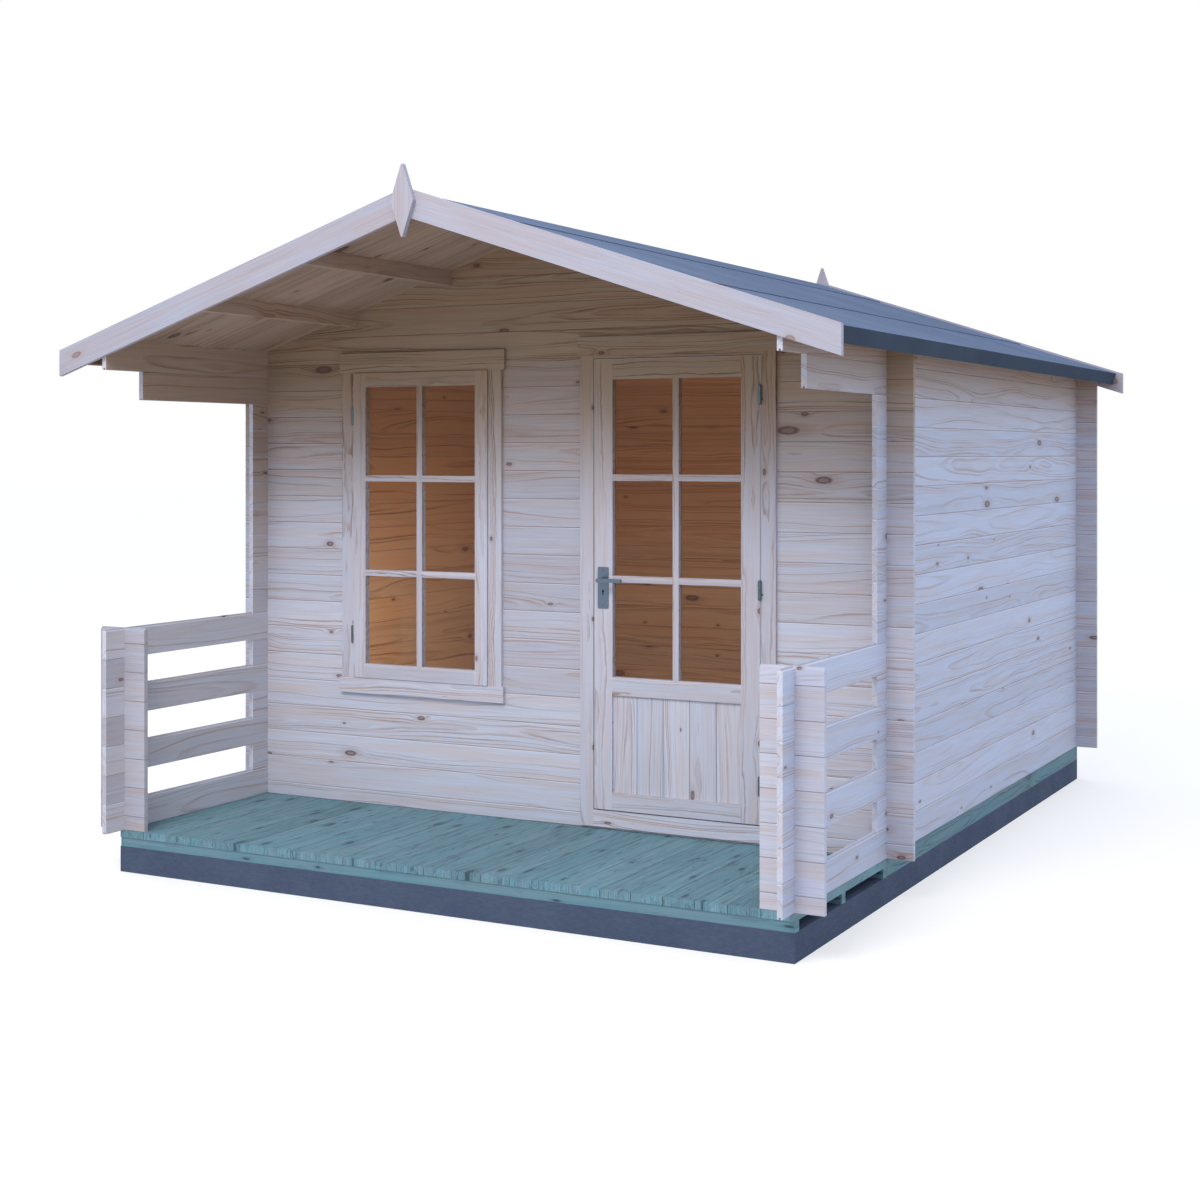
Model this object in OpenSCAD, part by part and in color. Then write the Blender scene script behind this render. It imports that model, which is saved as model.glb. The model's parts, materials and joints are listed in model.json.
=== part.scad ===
// Log cabin with an open porch, in millimetres.
// The front faces -Y, Z is up, and the origin is the centre of the plinth's underside.
// The logs are tongued and grooved, and notched a quarter of their height where walls cross.

/* [Base] */
// Height of the masonry plinth
plinth_h = 100; // [60:1:300]
// Thickness of a porch deck board
deck_t = 29; // [20:1:40]
// Height of a joist under the porch deck
deck_joist_h = 37; // [30:1:90]
// Width of a joist under the porch deck
deck_joist_w = 36; // [30:1:70]
// How far the first deck joist is set back from the deck's edge
deck_joist_inset = 4; // [0:1:30]
// Number of porch deck boards
deck_board_count = 24; // [16:1:30]
// Gap between two deck boards, and between two floor boards
board_gap = 2; // [1:0.5:6]
// Width of a bearer or joist under the cabin
bearer_w = 44; // [40:1:70]
// Thickness of a floor board inside
floor_t = 19; // [15:1:28]
// Number of floor boards inside
floor_board_count = 24; // [16:1:30]
// Number of joists under the floor
floor_joist_count = 4; // [2:1:7]

/* [Logs] */
// Width over the side walls' outer faces
cabin_w = 2870; // [2600:10:3600]
// Depth from the front wall's outer face to the back wall's outer face
cabin_d = 2966; // [2000:10:4500]
// Depth of the porch in front of the front wall
porch_d = 910; // [700:10:1500]
// Height of one log course
log_h = 114; // [108:1:130]
// Thickness of a log
log_t = 20; // [18:1:44]
// How far a log runs past the wall that it crosses
log_overhang = 103; // [80:1:160]
// Courses in a side wall
wall_courses = 17; // [16:1:19]
// Courses in the porch rails, every second one a rail
rail_courses = 7; // [5:2:9]
// Courses of the front wall under the window
sill_courses = 4; // [3:1:6]
// Height of the tongue on top of a log
tongue_h = 6; // [4:0.5:8]
// Width of the tongue
tongue_w = 7; // [5:0.5:9]
// Clearance of the tongue in its groove
groove_fit = 0.5; // [0.2:0.1:1]
// Bevel along a log's long edges
log_bevel = 2; // [1:0.5:4]
// Clearance beside a log where it sits in a notch
notch_fit = 0.25; // [0.1:0.05:1]
// Hairline left between two logs that rest on each other
log_seat = 0.3; // [0.2:0.05:0.6]
// How far the bracket log ends behind the wall plate over it
bracket_step = 210; // [120:5:400]

/* [Roof] */
// Pitch of the roof in degrees
roof_pitch = 18.1; // [14:0.1:25]
// How far the felt's edge stands out past a side wall
eave_overhang = 174; // [120:1:300]
// Thickness of a roof board
roof_board_t = 20; // [16:1:28]
// Number of roof boards on each slope
roof_board_count = 34; // [24:1:40]
// Gap between two roof boards
roof_board_gap = 1.5; // [0.5:0.5:4]
// Thickness of the roofing felt
felt_t = 3; // [2:0.5:6]
// Distance down the slope from the ridge to the ridge strip's edge
ridge_strip = 354; // [250:1:450]
// Distance down the slope from the ridge to the middle strip's edge
middle_strip = 1164; // [900:1:1300]
// Overlap of one felt strip on the next
felt_lap = 75; // [50:1:120]
// Depth of the eave fascia
fascia_w = 56; // [45:1:100]
// Thickness of the eave fascia
fascia_t = 16; // [12:1:25]
// Width of a bargeboard
barge_w = 98; // [80:1:150]
// Thickness of a bargeboard and of a finial
barge_t = 20; // [16:1:28]
// How far a bargeboard's end stands out past the felt's edge
barge_overhang = 32; // [20:1:80]
// How far a bargeboard rises above the felt
barge_rise = 10; // [7:1:20]
// Width of a purlin
purlin_w = 45; // [38:1:70]
// Depth of a purlin
purlin_h = 62; // [50:1:100]
// Distance between purlins
purlin_pitch = 480; // [420:5:540]
// Width of a finial
finial_w = 96; // [70:1:130]
// Height of a finial's tip above the bargeboards' peak
finial_rise = 81; // [60:1:120]
// Depth of a finial's foot below the bargeboards' peak
finial_drop = 178; // [130:1:220]
// Depth of a finial's widest place below the bargeboards' peak
finial_waist = 49; // [0:1:60]
// Width of a finial's blunt tips
finial_tip = 6; // [4:1:16]

/* [Door] */
// Centre of the doorway, to the right of the cabin's centre
door_x = 580; // [540:5:620]
// Width of the door leaf
leaf_w = 712; // [660:2:760]
// Thickness of the door leaf
leaf_t = 38; // [34:1:44]
// Width of the leaf's stiles and top rail
stile_w = 79; // [70:1:95]
// Height of the rail between glass and panel
lock_rail_h = 72; // [60:1:120]
// Height of the leaf's bottom rail
bottom_rail_h = 70; // [60:1:140]
// Height of the boarded panel
panel_h = 386; // [250:1:450]
// Thickness of a panel board
panel_t = 14; // [10:1:16]
// How far the panel's face lies behind the leaf's face
panel_recess = 9; // [6:1:10]
// Bevel along a panel board's edges
panel_bevel = 2; // [1:0.5:4]
// Boards in the panel
panel_board_count = 5; // [4:1:7]
// Running gap round the leaf
door_gap = 5; // [5:0.5:7]
// Width of the door's outer casing
door_casing_w = 60; // [50:1:80]
// Thickness of the door frame beside the leaf
door_jamb_t = 30; // [26:1:38]
// Height of the threshold
threshold_h = 75; // [60:1:110]
// Gap under the outer face of the frame
frame_lift = 10; // [5:1:20]
// Width of the stop that the leaf closes on
stop_w = 15; // [12:1:16]
// How far the doorway is cut into the log over it
head_cut = 22; // [15:1:30]
// Distance from the doorway's top log joint down to the leaf's top
leaf_drop = 13; // [10:1:20]
// How far the casing's head rises above the leaf
door_head_w = 18; // [12:1:22]
// Height of the trim board over the door
door_trim_h = 74; // [50:1:90]
// How far the trim board over the door runs past the casing's sides
door_trim_end = 12; // [0:1:25]
// Distance from a leaf's end to the middle of its hinge
door_hinge_inset = 149; // [100:1:250]
// Height of the lever above the leaf's bottom edge
lever_z = 913; // [860:1:960]

/* [Window] */
// Centre of the window, to the left of the cabin's centre
window_x = 606; // [560:1:640]
// Width of the window sash
sash_w = 666; // [600:2:720]
// Thickness of the window sash
sash_t = 36; // [32:1:38]
// Width of the sash's frame members
sash_rail_w = 60; // [50:1:70]
// How far the sash stands in front of its casing
sash_proud = 8; // [4:1:10]
// Clearance round the sash
sash_fit = 1.5; // [0.5:0.5:3]
// Width of the window's outer casing
window_casing_w = 63; // [60:1:90]
// How far the window casing's head runs past its sides
window_head_over = 12; // [0:1:25]
// Thickness of the window frame beside the sash
window_jamb_t = 47; // [30:1:55]
// Thickness of the window frame's head
window_head_t = 35; // [25:1:45]
// Thickness of the window frame's foot
window_foot_t = 25; // [20:1:35]
// Height of the sill board
sill_h = 66; // [45:1:80]
// Thickness of the sill board
sill_t = 18; // [15:1:35]
// How far the sill board runs past the casing's sides
sill_end = 10; // [0:1:25]
// Height of the trim board over the window
window_trim_h = 48; // [40:1:80]
// How far the trim board over the window runs past the casing's sides
window_trim_end = 15; // [0:1:25]
// Distance from a sash's end to the middle of its hinge
sash_hinge_inset = 183; // [120:1:260]

/* [Joinery] */
// Thickness of the casings on the outer wall face
casing_t = 15; // [12:1:20]
// Thickness of the casings on the inner wall face
inner_casing_t = 20; // [15:1:25]
// How far trim boards over the openings stand in front of the wall
trim_t = 18; // [15:1:35]
// Clearance between a frame and the log ends
frame_fit = 0.5; // [0.2:0.1:2]
// Hairline left between two pieces of a frame, panel or roof that are fixed together
seat = 0.3; // [0.2:0.05:0.6]
// Gap left over the door frame for the logs to settle
settle_gap = 5; // [3:0.5:8]
// Gap left over the window frame for the logs to settle
window_settle_gap = 7; // [3:0.5:12]
// Width of a glazing bar
bar_w = 26; // [25:1:34]
// Width of the slope along a pane's edges
bead_w = 12; // [6:0.5:12]
// Depth of the slope along a pane's edges
bead_d = 3; // [2:0.5:6]
// Columns of panes
pane_columns = 2; // [1:1:3]
// Rows of panes
pane_rows = 3; // [2:1:4]
// Thickness of the glass
glass_t = 4; // [3:0.5:6]
// Depth of the grooves that hold glass and panels
groove_d = 9; // [6:1:12]
// Clearance of glass and panels in their grooves
pane_fit = 0.4; // [0.2:0.1:0.6]

/* [Metalwork] */
// Radius of a hinge barrel
barrel_r = 7; // [6:0.5:9]
// Height of a hinge barrel
barrel_h = 68; // [50:1:90]
// Radius of a hinge pin
pin_r = 3.2; // [2.5:0.1:4]
// Clearance round a hinge pin
pin_fit = 0.3; // [0.2:0.05:0.5]
// Radius of a hinge's screwed stem
stem_r = 3.5; // [2.5:0.1:4]
// Length of a hinge's screwed stem from the barrel's centre
stem_l = 38; // [30:1:45]
// How far a hinge pin stops short of its knuckle's end
pin_short = 3; // [2:0.5:6]
// Radius of a window hinge barrel
sash_barrel_r = 6; // [5:0.5:8]
// Clearance round a window hinge barrel
sash_barrel_fit = 0.25; // [0.1:0.05:1]
// Width of a handle plate
plate_w = 48; // [40:1:52]
// Height of a handle plate
plate_h = 165; // [140:1:220]
// Thickness of a handle plate
plate_t = 3; // [2:0.5:5]
// Corner radius of a handle plate
plate_corner = 6; // [2:0.5:10]
// Distance from a lever's axis down to its plate's bottom
plate_below = 114; // [90:1:130]
// Radius of the keyhole's round end
key_r = 5; // [3:0.5:7]
// Distance from a lever's axis down to the keyhole's round end
key_drop = 45; // [35:1:60]
// Width of the keyhole's slot
key_slot_w = 5; // [2:0.5:6]
// Length of the keyhole's slot below its round end
key_slot_h = 15; // [8:1:20]
// Length of a lever from its pivot
lever_l = 103; // [85:1:120]
// Radius of a lever's neck
lever_r = 9; // [7:0.5:11]
// Radius of a lever's tip
lever_tip_r = 6.8; // [5:0.1:9]
// Clearance round a lever's neck
lever_fit = 0.5; // [0.3:0.1:1]
// Side of the square spindle that joins two levers
spindle_w = 8; // [6:0.5:10]
// Distance from a lever's plate to the lever's far face
lever_out = 50; // [40:1:60]
// Thickness of a lever
lever_t = 9; // [7:0.5:12]

/* [Hidden] */
$fn = 48;
eps = 1;

pine = "#d9cfc9";
treated = "#6f9c9c";
slate = "#56607a";
felt_grey = "#4a5568";
steel = "#7d8d98";

depth = porch_d + cabin_d;
y_porch = -depth / 2;
y_front = y_porch + porch_d;
y_back = depth / 2;
log_total_x = cabin_w + 2 * log_overhang;
wall_x = cabin_w / 2 - log_t;
base_h = deck_joist_h + deck_t;
base_z = plinth_h + base_h;
plate_top = base_z + wall_courses * log_h;
joint_top = base_z + (wall_courses - 0.5) * log_h;
joint_sill = base_z + (sill_courses + 0.5) * log_h;
rail_top = base_z + rail_courses * log_h;

// Roof lines: s runs down the slope from the ridge, n stands square to it
slope_drop = tan(roof_pitch);
ridge_z = plate_top + slope_drop * cabin_w / 2;
roof_top_n = roof_board_t + felt_t;
eave_x = cabin_w / 2 + eave_overhang;
eave_s = (eave_x - roof_top_n * sin(roof_pitch)) / cos(roof_pitch);
board_s = eave_s - felt_t - fascia_t;
roof_y0 = y_porch - log_overhang;
roof_y1 = y_back + log_overhang;
peak_z = ridge_z + roof_top_n / cos(roof_pitch) + barge_rise;

// Door and window places
door_face = y_front - casing_t;
frame_back = y_front + log_t + inner_casing_t;
door_rebate = leaf_w / 2 + door_gap;
door_open = door_rebate + door_jamb_t + frame_fit;
door_open_top = joint_top + head_cut;
leaf_z0 = base_z + threshold_h + door_gap;
leaf_z1 = joint_top - leaf_drop;
leaf_h = leaf_z1 - leaf_z0;
leaf_x0 = door_x - leaf_w / 2;
leaf_x1 = door_x + leaf_w / 2;
stop_y = door_face + leaf_t + door_gap;
door_casing_top = leaf_z1 + door_head_w;
glass_z0 = bottom_rail_h + panel_h + lock_rail_h;
window_rebate = sash_w / 2 + sash_fit;
window_open = window_rebate + window_jamb_t + frame_fit;
sash_z0 = joint_sill + window_foot_t + sash_fit + frame_fit;
sash_z1 = joint_top - window_settle_gap - window_head_t - sash_fit;
sash_h = sash_z1 - sash_z0;
sash_face = door_face - sash_proud;
window_head_z = sash_z1 + sash_fit + window_head_t;
hinge_x = leaf_x1 + door_gap / 2;
hinge_y = door_face - barrel_r - pin_fit;
lever_x = leaf_x0 + stile_w / 2;
lever_top = leaf_z0 + lever_z;

// ---- logs -----------------------------------------------------------------

// A log's outline seen end-on: across from 0 to log_t, up from 0 to its height
module log_outline(h, groove = true, tongue = true) {
    half_groove = tongue_w / 2 + groove_fit;
    mid = log_t / 2;
    difference() {
        union() {
            top = h - log_seat;
            polygon([[log_bevel, 0], [log_t - log_bevel, 0], [log_t, log_bevel],
                [log_t, top - log_bevel], [log_t - log_bevel, top],
                [log_bevel, top], [0, top - log_bevel], [0, log_bevel]]);
            if (tongue)
                translate([mid - tongue_w / 2, top - log_bevel])
                    square([tongue_w, tongue_h + log_bevel]);
        }
        if (groove)
            translate([mid - half_groove, -eps])
                square([2 * half_groove, tongue_h + groove_fit + eps]);
    }
}

// Lower and upper cut of a notch, which leave the middle half of a log
module notch(x, y, centre) {
    side = log_t + 2 * notch_fit;
    half = (log_h / 2 - log_seat) / 2;
    for (z = [centre - half - log_h, centre + half])
        translate([x - notch_fit, y - notch_fit, z]) cube([side, side, log_h]);
}

// One log of a wall that runs across the cabin; course 0 is the half log at the foot.
// It crosses other walls whose faces nearest -X are listed in crossings.
module x_log(course, x0, x1, y, crossings, top = 1e6) {
    centre = base_z + course * log_h;
    z0 = max(base_z, centre - log_h / 2);
    z1 = min(top, centre + log_h / 2);
    difference() {
        translate([x0, y, z0])
            rotate([90, 0, 90])
                linear_extrude(x1 - x0)
                    log_outline(z1 - z0, groove = course > 0);
        for (x = crossings)
            notch(x, y, centre);
    }
}

// One log of a side wall; course 1 rests on the deck and bearers
module y_log(course, y0, y1, x, crossings, flat_top = false) {
    z0 = base_z + (course - 1) * log_h;
    centre = z0 + log_h / 2;
    difference() {
        translate([x, y1, z0])
            rotate([90, 0, 0])
                linear_extrude(y1 - y0)
                    if (flat_top)
                        union() {
                            log_outline(log_h, tongue = false);
                            translate([0, log_h / 2]) square([log_t, log_h / 2 + log_t]);
                        }
                    else
                        log_outline(log_h);
        for (y = crossings)
            notch(x, y, centre);
    }
}

// Everything under the roof boards
module under_roof() {
    reach = eave_x + barge_overhang;
    low = ridge_z - slope_drop * reach;
    translate([0, roof_y1 + eps, 0])
        rotate([90, 0, 0])
            linear_extrude(roof_y1 - roof_y0 + 2 * eps)
                polygon([[-reach, 0], [reach, 0], [reach, low], [0, ridge_z], [-reach, low]]);
}

side_crossings = [y_porch, y_front, y_back - log_t];
end_crossings = [-cabin_w / 2, wall_x];

module side_wall(x) {
    color(pine)
        for (n = [2 : wall_courses - 2])
            if (n > rail_courses || n % 2 == 0)
                y_log(n, y_front - log_overhang, roof_y1, x, side_crossings);
}

module side_rails(x) {
    color(pine)
        for (n = [1 : 2 : rail_courses])
            y_log(n, roof_y0, roof_y1, x, side_crossings);
}

// The two top courses carry the eaves of the porch: a wall plate over a shorter bracket
module side_plates(x) {
    color(pine) {
        y_log(wall_courses - 1, roof_y0 + bracket_step, roof_y1, x,
            [y_front, y_back - log_t]);
        intersection() {
            y_log(wall_courses, roof_y0, roof_y1, x, [y_front, y_back - log_t],
                flat_top = true);
            under_roof();
        }
    }
}

// A porch post is short crossed logs, locked into the rails like a corner
module post(x) {
    color(pine) {
        for (k = [0 : rail_courses])
            x_log(k, x - log_overhang, x + log_t + log_overhang, y_porch, [x], rail_top);
        for (n = [2 : 2 : rail_courses - 1])
            y_log(n, y_porch - log_overhang, y_porch + log_t + log_overhang, x, [y_porch]);
    }
}

module right_wall() { side_wall(wall_x); }
module right_rails() { side_rails(wall_x); }
module right_plates() { side_plates(wall_x); }
module right_post() { post(wall_x); }
module left_wall() { side_wall(-cabin_w / 2); }
module left_rails() { side_rails(-cabin_w / 2); }
module left_plates() { side_plates(-cabin_w / 2); }
module left_post() { post(-cabin_w / 2); }

// Courses first to last of the front wall, between two places across it
module front_logs(first, last, x0, x1) {
    color(pine)
        for (k = [first : last])
            x_log(k, x0, x1, y_front, end_crossings);
}

module front_wall_base() {
    front_logs(0, sill_courses, -log_total_x / 2, door_x - door_open);
}
module front_wall_left() {
    front_logs(sill_courses + 1, wall_courses - 1, -log_total_x / 2, -window_x - window_open);
}
module front_wall_middle() {
    front_logs(sill_courses + 1, wall_courses - 1, -window_x + window_open, door_x - door_open);
}
module front_wall_right() {
    front_logs(0, wall_courses - 1, door_x + door_open, log_total_x / 2);
}

gable_last = floor((ridge_z - base_z) / log_h + 0.5);

// Logs over the side walls' tops, cut to the slopes and let out for the purlins
module gable_logs(y) {
    for (k = [wall_courses : gable_last])
        intersection() {
            difference() {
                x_log(k, -log_total_x / 2, log_total_x / 2, y,
                    k == wall_courses ? end_crossings : []);
                for (i = [-2 : 2])
                    purlin_pocket(i, y);
                if (k == wall_courses && y == y_front)
                    translate([door_x - door_open, y_front - eps, joint_top - eps])
                        cube([2 * door_open, log_t + 2 * eps, head_cut + eps]);
            }
            under_roof();
        }
}

module front_gable() { color(pine) gable_logs(y_front); }

module back_wall() {
    color(pine)
        for (k = [0 : wall_courses - 1])
            x_log(k, -log_total_x / 2, log_total_x / 2, y_back - log_t, end_crossings);
}

module back_gable() { color(pine) gable_logs(y_back - log_t); }

// ---- base -----------------------------------------------------------------

module plinth() {
    color(slate)
        translate([-cabin_w / 2, y_porch, 0]) cube([cabin_w, depth, plinth_h]);
}

// Bearers under the four walls, with joists for the floor between them
module bearers() {
    inner_w = cabin_w - 2 * (bearer_w + seat);
    run = cabin_d - 2 * bearer_w;
    color(treated) {
        for (x = [-cabin_w / 2, cabin_w / 2 - bearer_w])
            translate([x, y_front, plinth_h]) cube([bearer_w, cabin_d, base_h]);
        for (y = [y_front, y_back - bearer_w])
            translate([-inner_w / 2, y, plinth_h]) cube([inner_w, bearer_w, base_h]);
        for (i = [1 : floor_joist_count])
            translate([-inner_w / 2, y_front + i * (run + bearer_w) / (floor_joist_count + 1),
                plinth_h])
                cube([inner_w, bearer_w, base_h]);
    }
}

deck_y1 = y_front - board_gap;

module deck_joists() {
    first = y_porch + deck_joist_inset;
    last = deck_y1 - deck_joist_w;
    color(treated)
        for (y = [first, (first + last) / 2, last])
            translate([-cabin_w / 2, y, plinth_h]) cube([cabin_w, deck_joist_w, deck_joist_h]);
}

module deck_boards() {
    pitch = (cabin_w + board_gap) / deck_board_count;
    color(treated)
        for (i = [0 : deck_board_count - 1])
            translate([-cabin_w / 2 + i * pitch, y_porch, plinth_h + deck_joist_h])
                cube([pitch - board_gap, deck_y1 - y_porch, deck_t]);
}

// Floor boards lie on the bearers and stop short of the walls and of the door frame
module floor_boards() {
    inner = wall_x - board_gap;
    pitch = (2 * inner + board_gap) / floor_board_count;
    y0 = y_front + log_t + board_gap;
    y1 = y_back - log_t - board_gap;
    frame_half = door_rebate + door_casing_w + board_gap;
    color(pine)
        difference() {
            for (i = [0 : floor_board_count - 1])
                translate([-inner + i * pitch, y0, base_z])
                    cube([pitch - board_gap, y1 - y0, floor_t]);
            translate([door_x - frame_half, y_front, base_z - eps])
                cube([2 * frame_half, frame_back - y_front + board_gap, floor_t + 2 * eps]);
        }
}

// ---- roof -----------------------------------------------------------------

// Extrudes an outline drawn in s and n along the cabin, on the right or left slope
module on_slope(side, y0 = roof_y0, y1 = roof_y1) {
    mirror([side < 0 ? 1 : 0, 0, 0])
        translate([0, y1, ridge_z])
            rotate([90, roof_pitch, 0])
                linear_extrude(y1 - y0)
                    children();
}

// Where a plumb cut at the ridge meets the height n over the boards' undersides
function ridge_s(n) = -n * slope_drop;

// Underside of purlin i, which counts from the ridge
function purlin_z(i) =
    ridge_z - slope_drop * max(0, abs(i) * purlin_pitch - purlin_w / 2) - purlin_h;

// A purlin's top is planed to the slope
module purlin(i) {
    intersection() {
        translate([i * purlin_pitch - purlin_w / 2, roof_y0, purlin_z(i)])
            cube([purlin_w, roof_y1 - roof_y0, purlin_h]);
        under_roof();
    }
}

// The slot for a purlin in the gable whose outer face is at y
module purlin_pocket(i, y) {
    translate([i * purlin_pitch - purlin_w / 2 - notch_fit, y - eps, purlin_z(i) - notch_fit])
        cube([purlin_w + 2 * notch_fit, log_t + 2 * eps, 2 * purlin_h]);
}

module purlins() {
    color(pine)
        for (i = [-2 : 2])
            purlin(i);
}

module roof_boards(side) {
    y0 = roof_y0 + seat;
    pitch = (roof_y1 - seat - y0 + roof_board_gap) / roof_board_count;
    color(pine)
        for (i = [0 : roof_board_count - 1])
            on_slope(side, y0 + i * pitch, y0 + (i + 1) * pitch - roof_board_gap)
                polygon([[0, 0], [board_s, 0], [board_s, roof_board_t],
                    [ridge_s(roof_board_t), roof_board_t]]);
}

module roof_boards_right() { roof_boards(1); }
module roof_boards_left() { roof_boards(-1); }

// Outline of a strip from start down to edge, which steps up over the strip below it
function lapped_strip(start, upper, edge) =
    let (step = edge - felt_lap - seat, over = roof_top_n + seat)
    [[start, roof_board_t], [step, roof_board_t], [step, over], [edge, over],
        [edge, over + felt_t], [step - felt_t, over + felt_t], [step - felt_t, roof_top_n],
        [upper, roof_top_n]];

// The lowest strip turns down over the fascia; the middle one laps over it
module felt(side) {
    color(felt_grey) {
        on_slope(side)
            polygon([[middle_strip - felt_lap, roof_board_t], [eave_s - felt_t, roof_board_t],
                [eave_s - felt_t, roof_board_t - fascia_w], [eave_s, roof_board_t - fascia_w],
                [eave_s, roof_top_n], [middle_strip - felt_lap, roof_top_n]]);
        on_slope(side)
            polygon(lapped_strip(ridge_strip - felt_lap, ridge_strip - felt_lap, middle_strip));
    }
}

module felt_right() { felt(1); }
module felt_left() { felt(-1); }

// A point of the slope as seen from the front, with the ridge at the origin
function slope_point(p) = [p[0] * cos(roof_pitch) + p[1] * sin(roof_pitch),
    p[1] * cos(roof_pitch) - p[0] * sin(roof_pitch)];

// One strip folded over the ridge
module felt_ridge() {
    half = [for (p = lapped_strip(ridge_s(roof_board_t), ridge_s(roof_top_n), ridge_strip))
        slope_point(p)];
    last = len(half) - 1;
    color(felt_grey)
        translate([0, roof_y1, ridge_z])
            rotate([90, 0, 0])
                linear_extrude(roof_y1 - roof_y0)
                    polygon(concat([[0, half[0][1]]], [for (i = [1 : last - 1]) half[i]],
                        [[0, half[last][1]]],
                        [for (i = [last - 1 : -1 : 1]) [-half[i][0], half[i][1]]]));
}

module fascias() {
    color(pine)
        for (side = [-1, 1])
            on_slope(side)
                translate([board_s, roof_board_t - fascia_w]) square([fascia_t, fascia_w]);
}

// Bargeboards end in plumb cuts at the peak and at the eaves
module bargeboards() {
    reach = eave_x + barge_overhang;
    plumb = barge_w / cos(roof_pitch);
    color(pine)
        for (y = [roof_y0, roof_y1 + barge_t])
            for (side = [0, 1])
                mirror([side, 0, 0])
                    translate([0, y, peak_z])
                        rotate([90, 0, 0])
                            linear_extrude(barge_t)
                                polygon([[seat / 2, -slope_drop * seat / 2],
                                    [reach, -slope_drop * reach],
                                    [reach, -slope_drop * reach - plumb],
                                    [seat / 2, -slope_drop * seat / 2 - plumb]]);
}

module finials() {
    color(pine)
        for (y = [roof_y0 - barge_t, roof_y1 + 2 * barge_t])
            translate([0, y, peak_z])
                rotate([90, 0, 0])
                    linear_extrude(barge_t)
                        polygon([[-finial_tip / 2, finial_rise], [finial_tip / 2, finial_rise],
                            [finial_w / 2, -finial_waist], [finial_tip / 2, -finial_drop],
                            [-finial_tip / 2, -finial_drop], [-finial_w / 2, -finial_waist]]);
}

// ---- frames ---------------------------------------------------------------

// Section of a frame round an opening: u is 0 at the rebate face and grows into the wall,
// v is the depth from the front wall's outer face
module frame_section(casing_w, jamb_t, stop_v) {
    polygon([[0, -casing_t], [casing_w, -casing_t], [casing_w, 0], [jamb_t, 0],
        [jamb_t, log_t], [casing_w, log_t], [casing_w, log_t + inner_casing_t],
        [-stop_w, log_t + inner_casing_t], [-stop_w, stop_v], [0, stop_v]]);
}

module jamb(casing_w, jamb_t, stop_v, z0, z1) {
    translate([0, y_front, z0]) linear_extrude(z1 - z0) frame_section(casing_w, jamb_t, stop_v);
}

// The same section laid across, from x0 to x1, opening downwards or upwards
module cross_member(x0, x1, z, up, casing_w, jamb_t, stop_v) {
    translate([x0, y_front, z])
        rotate([90, 0, 90])
            linear_extrude(x1 - x0)
                multmatrix([[0, 1, 0, 0], [up, 0, 0, 0], [0, 0, 1, 0], [0, 0, 0, 1]])
                    frame_section(casing_w, jamb_t, stop_v);
}

// A hinge's stem leaves its barrel at 45 degrees into the wood; side 1 is the frame's
module stem(side, z, r, from = 0) {
    translate([hinge_x, hinge_y, z])
        rotate([0, 90, side > 0 ? 45 : 135])
            translate([0, 0, from]) cylinder(r = r, h = stem_l - from);
}

door_hinge_z = [leaf_z0 + door_hinge_inset, (leaf_z0 + leaf_z1) / 2, leaf_z1 - door_hinge_inset];

module door_jamb(side) {
    stop_v = stop_y - y_front;
    difference() {
        translate([door_x, 0, 0])
            mirror([side < 0 ? 1 : 0, 0, 0])
                translate([door_rebate, 0, 0])
                    jamb(door_casing_w, door_jamb_t, stop_v, base_z, door_casing_top);
        // the casing stops short of the deck
        translate([door_x + (side < 0 ? -2 : 0) * leaf_w, door_face - eps, base_z - eps])
            cube([2 * leaf_w, casing_t + eps, frame_lift + eps]);
        if (side > 0)
            for (z = door_hinge_z)
                stem(1, z - barrel_h / 4, stem_r + pin_fit / 2);
    }
}

module door_frame() {
    stop_v = stop_y - y_front;
    head_w = door_casing_top - leaf_z1 - door_gap;
    head_t = door_open_top - settle_gap - leaf_z1 - door_gap;
    color(pine) {
        door_jamb(-1);
        door_jamb(1);
        difference() {
            half = door_rebate - seat;
            cross_member(door_x - half, door_x + half, leaf_z1 + door_gap, 1,
                head_w, head_t, stop_v);
            // coped round the jambs' stops
            for (side = [-1, 1])
                translate([door_x + side * (half - stop_w + stile_w / 2) - stile_w / 2,
                    stop_y - seat, leaf_z1 - log_h])
                    cube([stile_w, log_h, 4 * log_h]);
        }
    }
}

module threshold() {
    stop_v = stop_y - y_front;
    color(pine)
        difference() {
            translate([door_x - door_rebate, door_face, base_z])
                cube([2 * door_rebate, frame_back - door_face, threshold_h]);
            translate([door_x - door_rebate - eps, door_face - eps, base_z - eps])
                cube([2 * door_rebate + 2 * eps, casing_t + eps, frame_lift + eps]);
            // coped round the jambs' stops
            for (side = [-1, 1])
                translate([door_x + side * (door_rebate - stop_w + stile_w / 2) - stile_w / 2,
                    stop_y, base_z - eps])
                    cube([stile_w, log_h, log_h]);
        }
}

// A plain board fixed to the wall over an opening
module trim_board(x, half_w, z0, h) {
    color(pine)
        translate([x - half_w, y_front - trim_t, z0]) cube([2 * half_w, trim_t, h]);
}

module door_trim() {
    half_w = door_rebate + door_casing_w + door_trim_end;
    trim_board(door_x, half_w, door_casing_top, door_trim_h);
}

module window_trim() {
    half_w = window_rebate + window_casing_w + window_trim_end;
    trim_board(-window_x, half_w, window_head_z, window_trim_h);
}

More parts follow.
